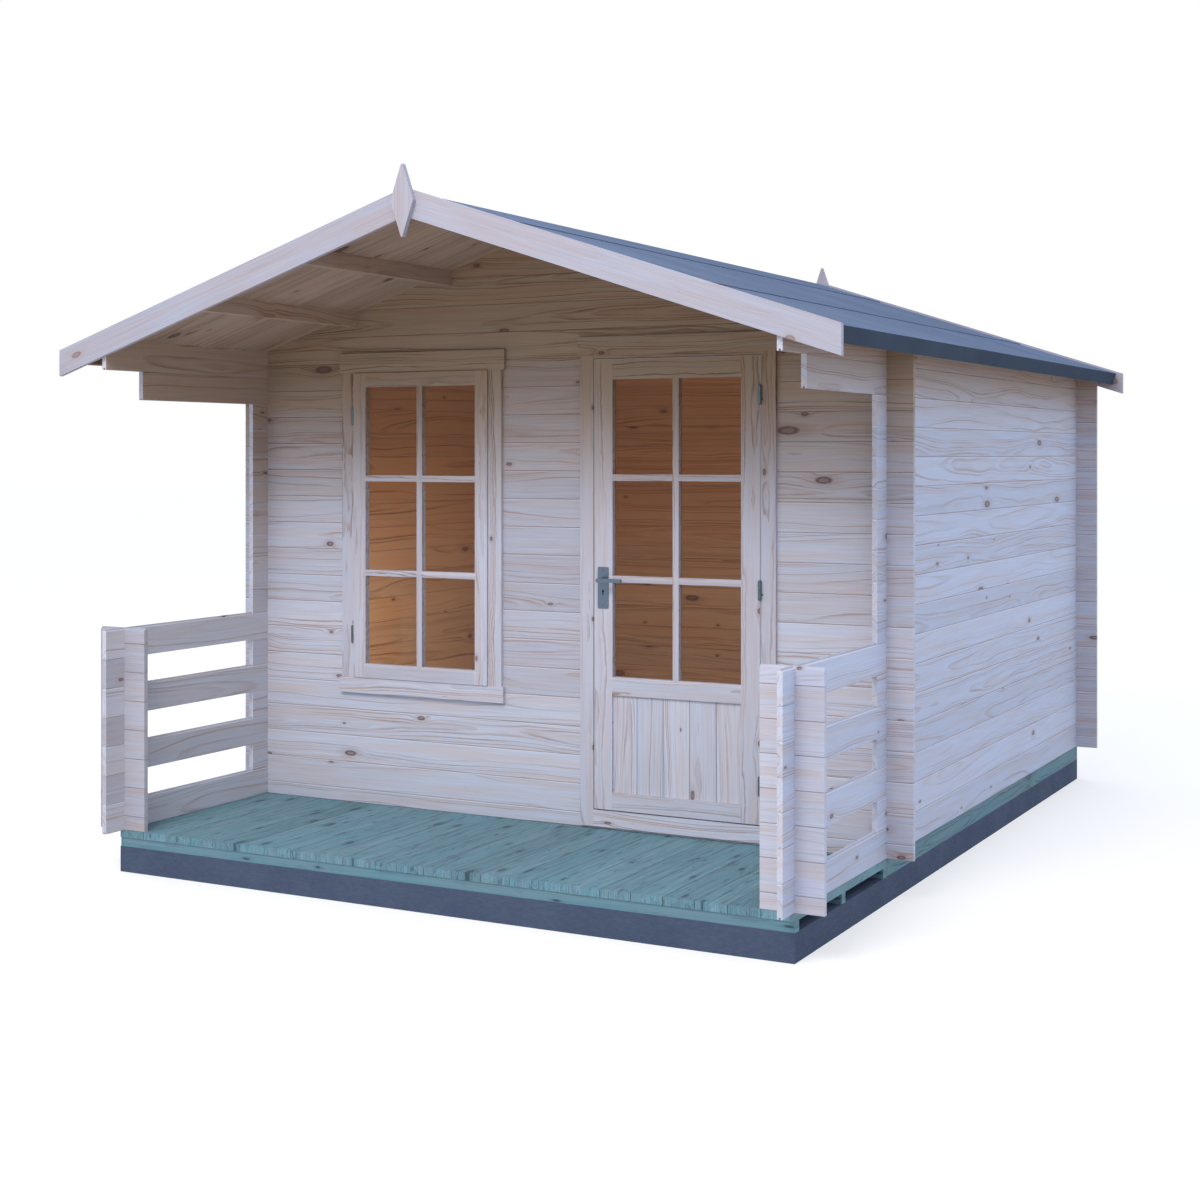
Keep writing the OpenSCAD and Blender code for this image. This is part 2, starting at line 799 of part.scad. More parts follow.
module window_frame() {
    stop_v = sash_face + sash_t - y_front;
    half_groove = tongue_w / 2 + groove_fit;
    z0 = sash_z0 - sash_fit;
    z1 = sash_z1 + sash_fit;
    outer = window_rebate + window_casing_w;
    head = outer + window_head_over;
    clear = window_rebate - stop_w - seat;
    web_end = window_rebate + window_jamb_t;
    color(pine)
        translate([-window_x, 0, 0]) {
            for (side = [0, 1])
                mirror([side, 0, 0])
                    translate([window_rebate, 0, 0])
                        jamb(window_casing_w, window_jamb_t, stop_v, z0 + seat, z1 - seat);
            difference() {
                union() {
                    cross_member(-head, head, z1, 1, window_head_t, window_head_t, stop_v);
                    cross_member(-outer, outer, z0, -1, window_casing_w, window_foot_t, stop_v);
                }
                for (side = [0, 1])
                    mirror([side, 0, 0]) {
                        // coped round the jambs' stops
                        translate([clear, door_face - eps, z0])
                            cube([outer, 2 * log_h, z1 - z0]);
                        // shouldered round the log ends
                        translate([web_end, y_front, z0 - log_h])
                            cube([log_h, log_t, z1 - z0 + 2 * log_h]);
                    }
                // the sill board takes the place of the foot's outer casing
                translate([-head, door_face - eps, z0 - log_h])
                    cube([2 * head, casing_t + eps, log_h]);
                // grooved over the tongue of the log under it
                translate([-outer, y_front + log_t / 2 - half_groove, joint_sill - eps])
                    cube([2 * outer, 2 * half_groove, tongue_h + groove_fit + eps]);
            }
        }
}

module window_sill() {
    half_w = window_rebate + window_casing_w + sill_end;
    color(pine)
        translate([-window_x - half_w, y_front - sill_t, sash_z0 - sash_fit - sill_h])
            cube([2 * half_w, sill_t, sill_h]);
}

// ---- leaf and sash --------------------------------------------------------

function pane_w(total) = (total - (pane_columns - 1) * bar_w) / pane_columns;
function pane_h(total) = (total - (pane_rows - 1) * bar_w) / pane_rows;

// Section of one pane's cut, which slopes outwards at both faces; depth runs up to t
module pane_section(w, t) {
    out = bead_w * (1 + eps / bead_d);
    polygon([[0, bead_d], [-out, -eps], [w + out, -eps], [w, bead_d],
        [w, t - bead_d], [w + out, t + eps], [-out, t + eps], [0, t - bead_d]]);
}

module pane_cut(w, h, t) {
    intersection() {
        translate([0, 0, -log_h]) linear_extrude(h + 2 * log_h) pane_section(w, t);
        translate([w + log_h, 0, 0])
            rotate([0, -90, 0])
                linear_extrude(w + 2 * log_h) pane_section(h, t);
    }
}

// Cuts the panes out of a leaf or sash, with a groove for the glass.
// The opening's lower left corner is at the origin and y is 0 at the front face.
module glazing_cut(w, h, t) {
    for (i = [0 : pane_columns - 1], j = [0 : pane_rows - 1])
        translate([i * (pane_w(w) + bar_w), 0, j * (pane_h(h) + bar_w)])
            pane_cut(pane_w(w), pane_h(h), t);
    translate([-groove_d, (t - glass_t) / 2 - pane_fit, -groove_d])
        cube([w + 2 * groove_d, glass_t + 2 * pane_fit, h + 2 * groove_d]);
}

module glass_pane(w, h, t) {
    side = groove_d - pane_fit;
    color("lightblue", 0.4)
        translate([-side, (t - glass_t) / 2, -side])
            cube([w + 2 * side, glass_t, h + 2 * side]);
}

glass_w = leaf_w - 2 * stile_w;
glass_h = leaf_h - glass_z0 - stile_w;
sash_glass_w = sash_w - 2 * sash_rail_w;
sash_glass_h = sash_h - 2 * sash_rail_w;

module at_leaf() { translate([leaf_x0, door_face, leaf_z0]) children(); }
module at_sash() { translate([-window_x - sash_w / 2, sash_face, sash_z0]) children(); }

module door_leaf() {
    color(pine)
        difference() {
            at_leaf() cube([leaf_w, leaf_t, leaf_h]);
            at_leaf() translate([stile_w, 0, glass_z0]) glazing_cut(glass_w, glass_h, leaf_t);
            at_leaf() translate([stile_w, -eps, bottom_rail_h])
                cube([glass_w, leaf_t + 2 * eps, panel_h]);
            at_leaf() translate([stile_w - groove_d, panel_recess, bottom_rail_h - groove_d])
                cube([glass_w + 2 * groove_d, panel_t + 2 * pane_fit, panel_h + 2 * groove_d]);
            translate([lever_x, door_face - eps, lever_top])
                rotate([-90, 0, 0]) cylinder(r = lever_r + 2 * lever_fit, h = leaf_t + 2 * eps);
            for (z = door_hinge_z)
                stem(-1, z + barrel_h / 4, stem_r + pin_fit / 2);
        }
}

// Upright boards with bevelled edges, held in the leaf's grooves
module door_panel() {
    side = groove_d - pane_fit;
    w = (glass_w + 2 * side) / panel_board_count;
    bevel = panel_bevel;
    color(pine)
        at_leaf()
            for (i = [0 : panel_board_count - 1])
                translate([stile_w - side + i * w, panel_recess + pane_fit, bottom_rail_h - side])
                    linear_extrude(panel_h + 2 * side)
                        polygon([[bevel, 0], [w - seat - bevel, 0], [w - seat, bevel],
                            [w - seat, panel_t - bevel], [w - seat - bevel, panel_t],
                            [bevel, panel_t], [0, panel_t - bevel], [0, bevel]]);
}

module door_glass() {
    at_leaf() translate([stile_w, 0, glass_z0]) glass_pane(glass_w, glass_h, leaf_t);
}

module window_sash() {
    color(pine)
        at_sash()
            difference() {
                cube([sash_w, sash_t, sash_h]);
                translate([sash_rail_w, 0, sash_rail_w])
                    glazing_cut(sash_glass_w, sash_glass_h, sash_t);
            }
}

module window_glass() {
    at_sash() translate([sash_rail_w, 0, sash_rail_w])
        glass_pane(sash_glass_w, sash_glass_h, sash_t);
}

// ---- metalwork ------------------------------------------------------------

// Barrels stand in the corner between the casing and the sash's edge
module window_hinges() {
    off = sash_barrel_r + sash_barrel_fit;
    color(steel)
        for (z = [sash_z0 + sash_hinge_inset, sash_z1 - sash_hinge_inset])
            translate([-window_x - sash_w / 2 - off, door_face - off, z - barrel_h / 2])
                cylinder(r = sash_barrel_r, h = barrel_h);
}

// Lower knuckle with the pin, and its stem in the jamb
module frame_hinges() {
    color(steel)
        for (z = door_hinge_z)
            union() {
                translate([hinge_x, hinge_y, z - barrel_h / 2])
                    cylinder(r = barrel_r, h = barrel_h / 2);
                translate([hinge_x, hinge_y, z - pin_r])
                    cylinder(r = pin_r, h = pin_r + barrel_h / 2 - 2 * pin_short);
                stem(1, z - barrel_h / 4, stem_r);
            }
}

// Upper knuckle, which turns on the pin
module leaf_hinges() {
    color(steel)
        for (z = door_hinge_z)
            difference() {
                union() {
                    translate([hinge_x, hinge_y, z + pin_fit])
                        cylinder(r = barrel_r, h = barrel_h / 2);
                    stem(-1, z + barrel_h / 4, stem_r, (pin_r + pin_fit + barrel_r) / 2);
                }
                translate([hinge_x, hinge_y, z + pin_fit - eps])
                    cylinder(r = pin_r + pin_fit, h = barrel_h / 2 - pin_short + eps);
            }
}

// Plate on the face at y, standing out to the side given by dir
module handle_plate(y, dir) {
    translate([lever_x, y, lever_top])
        rotate([90, 0, 0])
            translate([0, 0, dir > 0 ? 0 : -plate_t])
                linear_extrude(plate_t)
                    difference() {
                        translate([0, plate_h / 2 - plate_below]) {
                            side = plate_w / 2 - plate_corner;
                            end = plate_h / 2 - plate_corner;
                            square([2 * side, plate_h], center = true);
                            square([plate_w, 2 * end], center = true);
                            for (x = [-side, side], z = [-end, end])
                                translate([x, z]) circle(r = plate_corner);
                        }
                        circle(r = lever_r + lever_fit);
                        keyhole();
                    }
}

module keyhole() {
    translate([0, -key_drop]) circle(r = key_r);
    translate([-key_slot_w / 2, -key_drop - key_slot_h]) square([key_slot_w, key_slot_h]);
}

module handle_plates() {
    color(steel) {
        handle_plate(door_face, 1);
        handle_plate(door_face + leaf_t, -1);
    }
}

// One lever on the face at y; the two share a square spindle
module lever(y, dir) {
    tip_x = lever_l - lever_tip_r;
    translate([lever_x, y, lever_top])
        rotate([90, 0, 0])
            mirror([0, 0, dir > 0 ? 0 : 1]) {
                cylinder(r = lever_r, h = lever_out);
                translate([0, 0, lever_out - lever_t])
                    linear_extrude(lever_t) {
                        circle(r = lever_r);
                        translate([tip_x, 0]) circle(r = lever_tip_r);
                        polygon([[0, -lever_r], [tip_x, -lever_tip_r], [tip_x, lever_tip_r],
                            [0, lever_r]]);
                    }
            }
}

module levers() {
    color(steel)
        union() {
            lever(door_face, 1);
            lever(door_face + leaf_t, -1);
            translate([lever_x - spindle_w / 2, door_face - eps, lever_top - spindle_w / 2])
                cube([spindle_w, leaf_t + 2 * eps, spindle_w]);
        }
}

plinth();
bearers();
deck_joists();
deck_boards();
floor_boards();
right_wall();
right_rails();
right_plates();
left_wall();
left_rails();
left_plates();
right_post();
left_post();
front_wall_base();
front_wall_left();
front_wall_middle();
front_wall_right();
front_gable();
back_wall();
back_gable();
window_frame();
window_trim();
window_sill();
window_sash();
window_glass();
window_hinges();
door_frame();
threshold();
door_trim();
door_leaf();
door_panel();
door_glass();
frame_hinges();
leaf_hinges();
handle_plates();
levers();
purlins();
roof_boards_right();
roof_boards_left();
felt_right();
felt_left();
felt_ridge();
fascias();
bargeboards();
finials();
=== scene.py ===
import json
import math
import bpy
import numpy as np
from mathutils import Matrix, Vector


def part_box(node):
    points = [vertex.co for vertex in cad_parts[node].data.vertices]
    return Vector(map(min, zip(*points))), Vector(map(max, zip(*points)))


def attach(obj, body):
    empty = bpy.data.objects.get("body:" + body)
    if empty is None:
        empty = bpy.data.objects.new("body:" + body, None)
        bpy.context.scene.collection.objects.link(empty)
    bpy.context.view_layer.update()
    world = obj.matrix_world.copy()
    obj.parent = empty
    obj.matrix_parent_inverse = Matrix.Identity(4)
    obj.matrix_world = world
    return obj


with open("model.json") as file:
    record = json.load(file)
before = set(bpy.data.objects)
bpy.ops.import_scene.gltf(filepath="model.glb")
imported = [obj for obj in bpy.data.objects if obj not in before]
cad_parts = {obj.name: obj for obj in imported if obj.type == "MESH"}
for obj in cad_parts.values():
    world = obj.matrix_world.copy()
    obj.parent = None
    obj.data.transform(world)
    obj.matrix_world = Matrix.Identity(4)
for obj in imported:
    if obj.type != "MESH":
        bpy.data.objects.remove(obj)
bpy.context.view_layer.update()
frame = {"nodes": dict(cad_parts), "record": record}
nodes = frame["nodes"]
scene = bpy.context.scene
print("frame loaded,", len(nodes), "nodes")


# where things are, read from the solids
def spot(name):
    low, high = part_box(name)
    return np.array(low), np.array(high)


deckLow, deckHigh = spot("deck_boards")
floorLow, floorHigh = spot("floor_boards")
sashLow, sashHigh = spot("window_sash")
leafLow, leafHigh = spot("door_leaf")
panelLow, panelHigh = spot("door_panel")
doorGlassLow, doorGlassHigh = spot("door_glass")
sashGlassLow, sashGlassHigh = spot("window_glass")
postLow, postHigh = spot("right_post")
rightWallLow, rightWallHigh = spot("right_wall")

rightFace, logThick = rightWallHigh[0], rightWallHigh[0] - rightWallLow[0]
leftFace = spot("left_wall")[0][0]
backFace = spot("back_wall")[1][1]
frontFace = spot("front_wall_base")[0][1]
ridgeZ = spot("purlins")[1][2]
wallFoot = deckHigh[2]
course = 0.114                       # one log
roofPitch = math.radians(18.1)
pastWalls = rightFace + 0.001        # log ends lie further out than this


# Shader nodes. A value is a number, a tuple or the output of another node.
def fill(tree, node, inputs):
    for key, value in inputs.items():
        if isinstance(value, bpy.types.NodeSocket):
            tree.links.new(value, node.inputs[key])
        else:
            node.inputs[key].default_value = value


def addNode(tree, kind, inputs=None, **settings):
    made = tree.nodes.new(kind)
    for key, value in settings.items():
        setattr(made, key, value)
    fill(tree, made, inputs or {})
    return made


def calc(tree, operation, *values, clamp=False):
    return addNode(tree, "ShaderNodeMath", dict(enumerate(values)), operation=operation,
                   use_clamp=clamp).outputs[0]


# plus(tree, a, b) and the like; timesPlus is a * b + c
def maths(operation):
    return lambda tree, *values: calc(tree, operation, *values)


plus, minus, times, timesPlus = map(maths, ("ADD", "SUBTRACT", "MULTIPLY", "MULTIPLY_ADD"))
divide, above, below, absolute = map(maths, ("DIVIDE", "GREATER_THAN", "LESS_THAN", "ABSOLUTE"))


def vectorCalc(tree, operation, *values):
    return addNode(tree, "ShaderNodeVectorMath", dict(enumerate(values)),
                   operation=operation).outputs[0]


def join(tree, x, y, z):
    return addNode(tree, "ShaderNodeCombineXYZ", {0: x, 1: y, 2: z}).outputs[0]


def axes(tree, vector):
    return addNode(tree, "ShaderNodeSeparateXYZ", {0: vector}).outputs


def tones(tree, colour):
    return addNode(tree, "ShaderNodeSeparateColor", {0: colour}).outputs


def coordinates(tree, kind="Object"):
    return tree.nodes.new("ShaderNodeTexCoord").outputs[kind]


def ramp(tree, value, low, high, outLow=0.0, outHigh=1.0):
    return addNode(tree, "ShaderNodeMapRange",
                   {"Value": value, "From Min": low, "From Max": high,
                    "To Min": outLow, "To Max": outHigh},
                   interpolation_type="SMOOTHSTEP").outputs[0]


def blendColours(tree, factor, first, second):
    return addNode(tree, "ShaderNodeMix", {0: factor, 6: first, 7: second},
                   data_type="RGBA").outputs[2]


def choose(tree, mask, yes, no):
    return addNode(tree, "ShaderNodeMix", {0: mask, 2: no, 3: yes}).outputs[0]


def lit(tree, colour, light):
    return vectorCalc(tree, "MULTIPLY", colour, join(tree, light, light, light))


def noise(tree, vector, scale=1.0, detail=2.0, roughness=0.5):
    return addNode(tree, "ShaderNodeTexNoise", {"Vector": vector, "Scale": scale,
                                                "Detail": detail, "Roughness": roughness}).outputs


def dice(tree, value):
    return addNode(tree, "ShaderNodeTexWhiteNoise", {"W": value}, noise_dimensions="1D").outputs


def bump(tree, height, strength, distance):
    return addNode(tree, "ShaderNodeBump", {"Height": height, "Strength": strength,
                                            "Distance": distance}).outputs[0]


# Inputs and their values by name; a tuple is a colour
def newGroup(name, inputs, outputs):
    group = bpy.data.node_groups.new(name, "ShaderNodeTree")
    for label, value in inputs.items():
        group.interface.new_socket(
            name=label, in_out="INPUT", socket_type="NodeSocketColor" if isinstance(value, tuple)
            else "NodeSocketFloat").default_value = value
    for label in outputs:
        group.interface.new_socket(
            name=label, in_out="OUTPUT", socket_type="NodeSocketColor" if label == "Color"
            else "NodeSocketFloat")
    return group, group.nodes.new("NodeGroupInput").outputs, group.nodes.new("NodeGroupOutput")


clearBoard = 900.0                   # boards numbered from here up are free of knots


# Sawn pine. The growth rings are shells round a pith line that runs behind the face and
# wanders along the board, so the face cuts them in long lines and pointed arches. Knots
# are ovals that push the rings aside. Along, Across and Depth are metres in the board.
def makePineGroup():
    tree, given, out = newGroup("sawnPine", {
        "Along": 0.0, "Across": 0.0, "Depth": 0.0, "Board": 0.0, "Width": 0.114,
        "Pale": (0.6, 0.5, 0.45, 1), "Line": (0.4, 0.28, 0.22, 1),
        "Knot Colour": (0.12, 0.06, 0.05, 1), "Line Strength": 0.5, "Ring Spacing": 0.007,
        "Knots": 0.35, "Knot Size": 0.010, "Knot Stretch": 1.5, "Knot Hollow": 0.3,
        "Board Change": 0.12, "Streaks": 0.12, "Warm": (1.05, 1.0, 0.93, 1), "Wave": 0.008,
        "Dashes": 0.0, "Depth Grain": 210.0}, ["Color", "Height"])
    own = dice(tree, given["Board"])
    roll = tones(tree, own["Color"])
    along = plus(tree, given["Along"], times(tree, roll[2], 60.0))

    def centred(value):
        return minus(tree, value, 0.5)

    def squares(first, second):
        return plus(tree, times(tree, first, first), times(tree, second, second))

    def grain(perAlong, perAcross, third, detail=2.0, roughness=0.5):
        return noise(tree, join(tree, times(tree, along, perAlong),
                                times(tree, given["Across"], perAcross), third),
                     1.0, detail, roughness)[0]

    pithAcross = times(tree, centred(roll[0]), times(tree, given["Width"], 0.9))
    pithDepth = timesPlus(tree, roll[1], 0.05, 0.022)
    slow = noise(tree, join(tree, times(tree, along, 0.9), times(tree, given["Board"], 3.7), 0.0),
                 roughness=0.45)
    drift = tones(tree, slow["Color"])
    across = timesPlus(tree, centred(drift[0]), 0.11, minus(tree, given["Across"], pithAcross))
    depth = timesPlus(tree, centred(drift[1]), 0.10, plus(tree, given["Depth"], pithDepth))
    reach = calc(tree, "SQRT", squares(across, depth))
    wavy = grain(5.0, 26.0, times(tree, given["Depth"], 26.0), 3.0, 0.55)
    reach = timesPlus(tree, centred(wavy), given["Wave"], reach)

    # knots: one chance for each patch of the board
    patchAlong, patchAcross = 0.42, 0.10
    place = join(tree, times(tree, along, 1 / patchAlong),
                 timesPlus(tree, given["Across"], 1 / patchAcross,
                           times(tree, given["Board"], 5.3)), 0.0)
    cells = addNode(tree, "ShaderNodeTexVoronoi", {"Vector": place, "Scale": 1.0,
                                                   "Randomness": 0.85},
                    voronoi_dimensions="2D", feature="F1").outputs
    away = axes(tree, vectorCalc(tree, "SUBTRACT", place, cells["Position"]))
    awayAlong = times(tree, away[0], patchAlong)
    awayAcross = times(tree, away[1], patchAcross)
    toss = tones(tree, cells["Color"])
    present = times(tree, below(tree, toss[0], given["Knots"]),
                    below(tree, given["Board"], clearBoard))
    size = times(tree, given["Knot Size"], plus(tree, times(tree, toss[1], toss[1]), 0.35))
    ragged = noise(tree, join(tree, times(tree, awayAlong, 90.0), times(tree, awayAcross, 130.0),
                              times(tree, toss[2], 40.0)))[0]
    stretch = times(tree, given["Knot Stretch"], timesPlus(tree, toss[2], 0.6, 0.7))
    gone = calc(tree, "SQRT", squares(divide(tree, awayAlong, stretch), awayAcross))
    gone = timesPlus(tree, centred(ragged), 0.3, divide(tree, gone, size))
    core = times(tree, ramp(tree, gone, 1.15, 0.7), present)
    darkest = times(tree, ramp(tree, gone, 0.95, 0.35), minus(tree, 1.0, given["Knot Hollow"]))
    rim = times(tree, times(tree, ramp(tree, gone, 1.35, 0.95), ramp(tree, gone, 0.35, 0.85)),
                ramp(tree, ragged, 0.3, 0.55, 0.5, 1.0))
    rim = times(tree, calc(tree, "MAXIMUM", rim, darkest), present)
    halo = times(tree, ramp(tree, gone, 3.6, 0.8), present)
    push = calc(tree, "EXPONENT", times(tree, -1.0, squares(
        divide(tree, awayAlong, times(tree, size, 7.0)),
        divide(tree, awayAcross, times(tree, size, 2.6)))))
    reach = timesPlus(tree, times(tree, push, present), times(tree, size, 1.7), reach)

    # rings: each darkens slowly and ends sharply, and no two are equally dark
    ring = divide(tree, reach, given["Ring Spacing"])
    part = calc(tree, "FRACT", ring)
    which = dice(tree, plus(tree, calc(tree, "FLOOR", ring),
                            times(tree, given["Board"], 17.0)))["Value"]
    late = times(tree, ramp(tree, part, 0.15, 0.85), ramp(tree, part, 1.0, 0.88))
    line = times(tree, times(tree, late, ramp(tree, which, 0.25, 1.0)),
                 ramp(tree, grain(2.2, 30.0, given["Board"]), 0.3, 0.62, 0.25, 1.0))
    # where a ring lies flat in the face it spreads wide, and is paler there
    steep = divide(tree, absolute(tree, across), reach)
    line = times(tree, line, ramp(tree, steep, 0.0, 0.5, 0.35, 1.0))
    line = times(tree, line, given["Line Strength"])
    fibre = grain(3.0, 210.0, times(tree, given["Depth"], given["Depth Grain"]), 4.0, 0.6)
    # short dark marks along the grain
    dash = times(tree, ramp(tree, grain(7.0, 50.0, times(tree, given["Depth"], 20.0), 5.0, 0.7),
                            0.53, 0.70), given["Dashes"])

    warmth = grain(1.6, 24.0, times(tree, given["Board"], 2.9), 4.0, 0.6)
    shade = blendColours(tree, ramp(tree, warmth, 0.38, 0.68), given["Pale"],
                         vectorCalc(tree, "MULTIPLY", given["Pale"], given["Warm"]))
    between = blendColours(tree, 0.5, given["Line"], given["Knot Colour"])
    for factor, colour in ((line, given["Line"]), (dash, given["Knot Colour"]),
                           (times(tree, halo, 0.4), given["Line"]),
                           (times(tree, core, 0.6), between),
                           (times(tree, rim, 0.85), given["Knot Colour"])):
        shade = blendColours(tree, factor, shade, colour)
    light = plus(tree, times(tree, centred(own["Value"]), given["Board Change"]),
                 times(tree, centred(fibre), given["Streaks"]))
    height = plus(tree, times(tree, fibre, 0.6),
                  plus(tree, times(tree, line, -0.8), times(tree, core, 0.5)))
    fill(tree, out, {"Color": lit(tree, shade, plus(tree, light, 1.0)), "Height": height})
    return tree


# Which board a point is in, counted from Start in steps of Pitch, how far it is from the
# board's middle, a thin line where two boards meet, and the lip of the lower board, which
# is planed off a little; the light it catches is a painted highlight
def makeBoardGroup():
    tree, given, out = newGroup("boardOf", {
        "Across": 0.0, "Start": 0.0, "Pitch": 0.114, "Seed": 0.0, "Seam": 0.0018,
        "Lip": 0.005}, ["Board", "Across", "Seam", "Lip"])
    steps = divide(tree, minus(tree, given["Across"], given["Start"]), given["Pitch"])
    index = calc(tree, "FLOOR", steps)
    part = minus(tree, steps, index)
    middle = minus(tree, part, 0.5)
    fromEdge = times(tree, minus(tree, 0.5, absolute(tree, middle)), given["Pitch"])
    fromTop = times(tree, minus(tree, 1.0, part), given["Pitch"])
    seam = ramp(tree, divide(tree, fromEdge, given["Seam"]), 1.0, 0.4)
    lip = ramp(tree, divide(tree, fromTop, given["Lip"]), 1.1, 0.6)
    fill(tree, out, {"Board": timesPlus(tree, index, 1.37, given["Seed"]),
                     "Across": times(tree, middle, given["Pitch"]), "Seam": seam,
                     "Lip": calc(tree, "SUBTRACT", lip, seam, clamp=True)})
    return tree


# Painted shade under the roof, drawn as a darker honey tone. Shaded grows towards the roof on
# the outside, and is nothing on log ends. Indoors is 1 inside the four walls.
def makeShelterGroup():
    tree, given, out = newGroup("shelter", {
        "X": 0.0, "Y": 0.0, "Z": 0.0, "Low": 1.55, "High": 2.2, "Outside": 0.4, "Inner": 0.0,
        "End": 0.0}, ["Sheltered", "Indoors"])
    wide = absolute(tree, given["X"])
    within = below(tree, wide, rightFace - logThick / 2)
    indoors = times(tree, within, times(
        tree, above(tree, given["Y"], frontFace + logThick / 2),
        below(tree, given["Y"], -deckLow[1] - logThick / 2)))
    roofed = times(tree, ramp(tree, given["Z"], given["Low"], given["High"]),
                   calc(tree, "MAXIMUM", within, given["Outside"]))
    # painted light: warm bounce light drawn lower down on the side logs' faces to the porch
    inner = times(tree, below(tree, wide, rightFace - logThick + 0.0006),
                  below(tree, given["Y"], frontFace))
    inner = times(tree, times(tree, inner, given["Inner"]), ramp(tree, given["Z"], 0.7, 2.0))
    fill(tree, out, {"Indoors": indoors, "Sheltered": times(
        tree, calc(tree, "MAXIMUM", roofed, inner), minus(tree, 1.0, given["End"]))})
    return tree


pineGroup = makePineGroup()
boardGroup = makeBoardGroup()
shelterGroup = makeShelterGroup()
print("shader groups made")


def newMaterial(name):
    made = bpy.data.materials.new(name)
    made.use_nodes = True
    tree = made.node_tree
    tree.nodes.clear()
    shader = addNode(tree, "ShaderNodeBsdfPrincipled")
    addNode(tree, "ShaderNodeOutputMaterial", {"Surface": shader.outputs[0]})
    return made, tree, shader


def useGroup(tree, group, inputs):
    return addNode(tree, "ShaderNodeGroup", inputs, node_tree=group).outputs


def tinted(colour, change):
    return tuple(tone * part for tone, part in zip(colour, (*change, 1)))


pineLook = {"Pale": (0.595, 0.59, 0.655, 1), "Line": (0.41, 0.28, 0.24, 1),
            "Knot Colour": (0.10, 0.05, 0.048, 1), "Line Strength": 1.0, "Ring Spacing": 0.0062,
            "Knots": 0.24, "Knot Size": 0.011, "Knot Stretch": 2.4, "Knot Hollow": 0.75,
            "Board Change": 0.12, "Streaks": 0.5, "Warm": (1.03, 0.91, 0.83, 1)}
sideLook = {**pineLook, "Pale": (0.585, 0.58, 0.645, 1), "Line": (0.43, 0.33, 0.31, 1),
            "Knot Colour": (0.10, 0.05, 0.055, 1), "Knots": 0.2, "Knot Size": 0.0095,
            "Knot Stretch": 2.4, "Knot Hollow": 0.6, "Line Strength": 0.95, "Ring Spacing": 0.0075,
            "Streaks": 0.35, "Warm": (1.02, 0.94, 0.87, 1), "Wave": 0.005}
# painted light: a bluish sky light drawn on faces that look out from the cabin's sides
silver = (0.93, 1.01, 1.115)         # on faces that look out from the cabin's sides
# painted shade: the fronts of the log ends beyond the side walls are drawn darker
greyed = (0.87, 0.885, 0.915)        # on the fronts of the log ends beyond the side walls
# painted light: the rails are drawn a little lighter and warmer than the side logs
railLook = {**sideLook, "Pale": (0.60, 0.59, 0.64, 1)}
honeyLook = {"Pale": (0.45, 0.335, 0.26, 1), "Line": (0.28, 0.165, 0.105, 1)}
# painted shade: a darker honey for the wood under the porch roof
porchHoney = {"Pale": (0.345, 0.25, 0.17, 1), "Line": (0.175, 0.095, 0.052, 1)}
amberLook = {"Pale": (0.575, 0.325, 0.175, 1), "Line": (0.27, 0.10, 0.04, 1)}
# painted shade: inside, the wood is drawn darker further up
amberTop = (0.89, 0.73, 0.56)        # the wood inside is more golden further up
greenLook = {"Pale": (0.17, 0.28, 0.32, 1), "Line": (0.075, 0.14, 0.16, 1),
             "Knot Colour": (0.04, 0.062, 0.085, 1), "Line Strength": 0.7, "Ring Spacing": 0.006,
             "Knots": 0.95, "Knot Size": 0.0085, "Knot Stretch": 3.0, "Knot Hollow": 0.1,
             "Board Change": 0.22, "Streaks": 1.3, "Warm": (0.8, 1.0, 1.0, 1), "Dashes": 0.7,
             "Depth Grain": 10.0}
bearerLook = {**greenLook, "Pale": (0.13, 0.225, 0.26, 1), "Line": (0.05, 0.10, 0.115, 1),
              "Line Strength": 0.9, "Knots": 0.5, "Knot Size": 0.012, "Knot Hollow": 0.0,
              "Streaks": 0.7, "Dashes": 0.25}
# a dark seam between logs, and lip with lipLight, a painted highlight on each log's top edge
joint = {"colour": (0.30, 0.17, 0.13, 1), "dark": 0.55, "lip": (0.82, 0.80, 0.85, 1),
         "lipLight": 0.5}


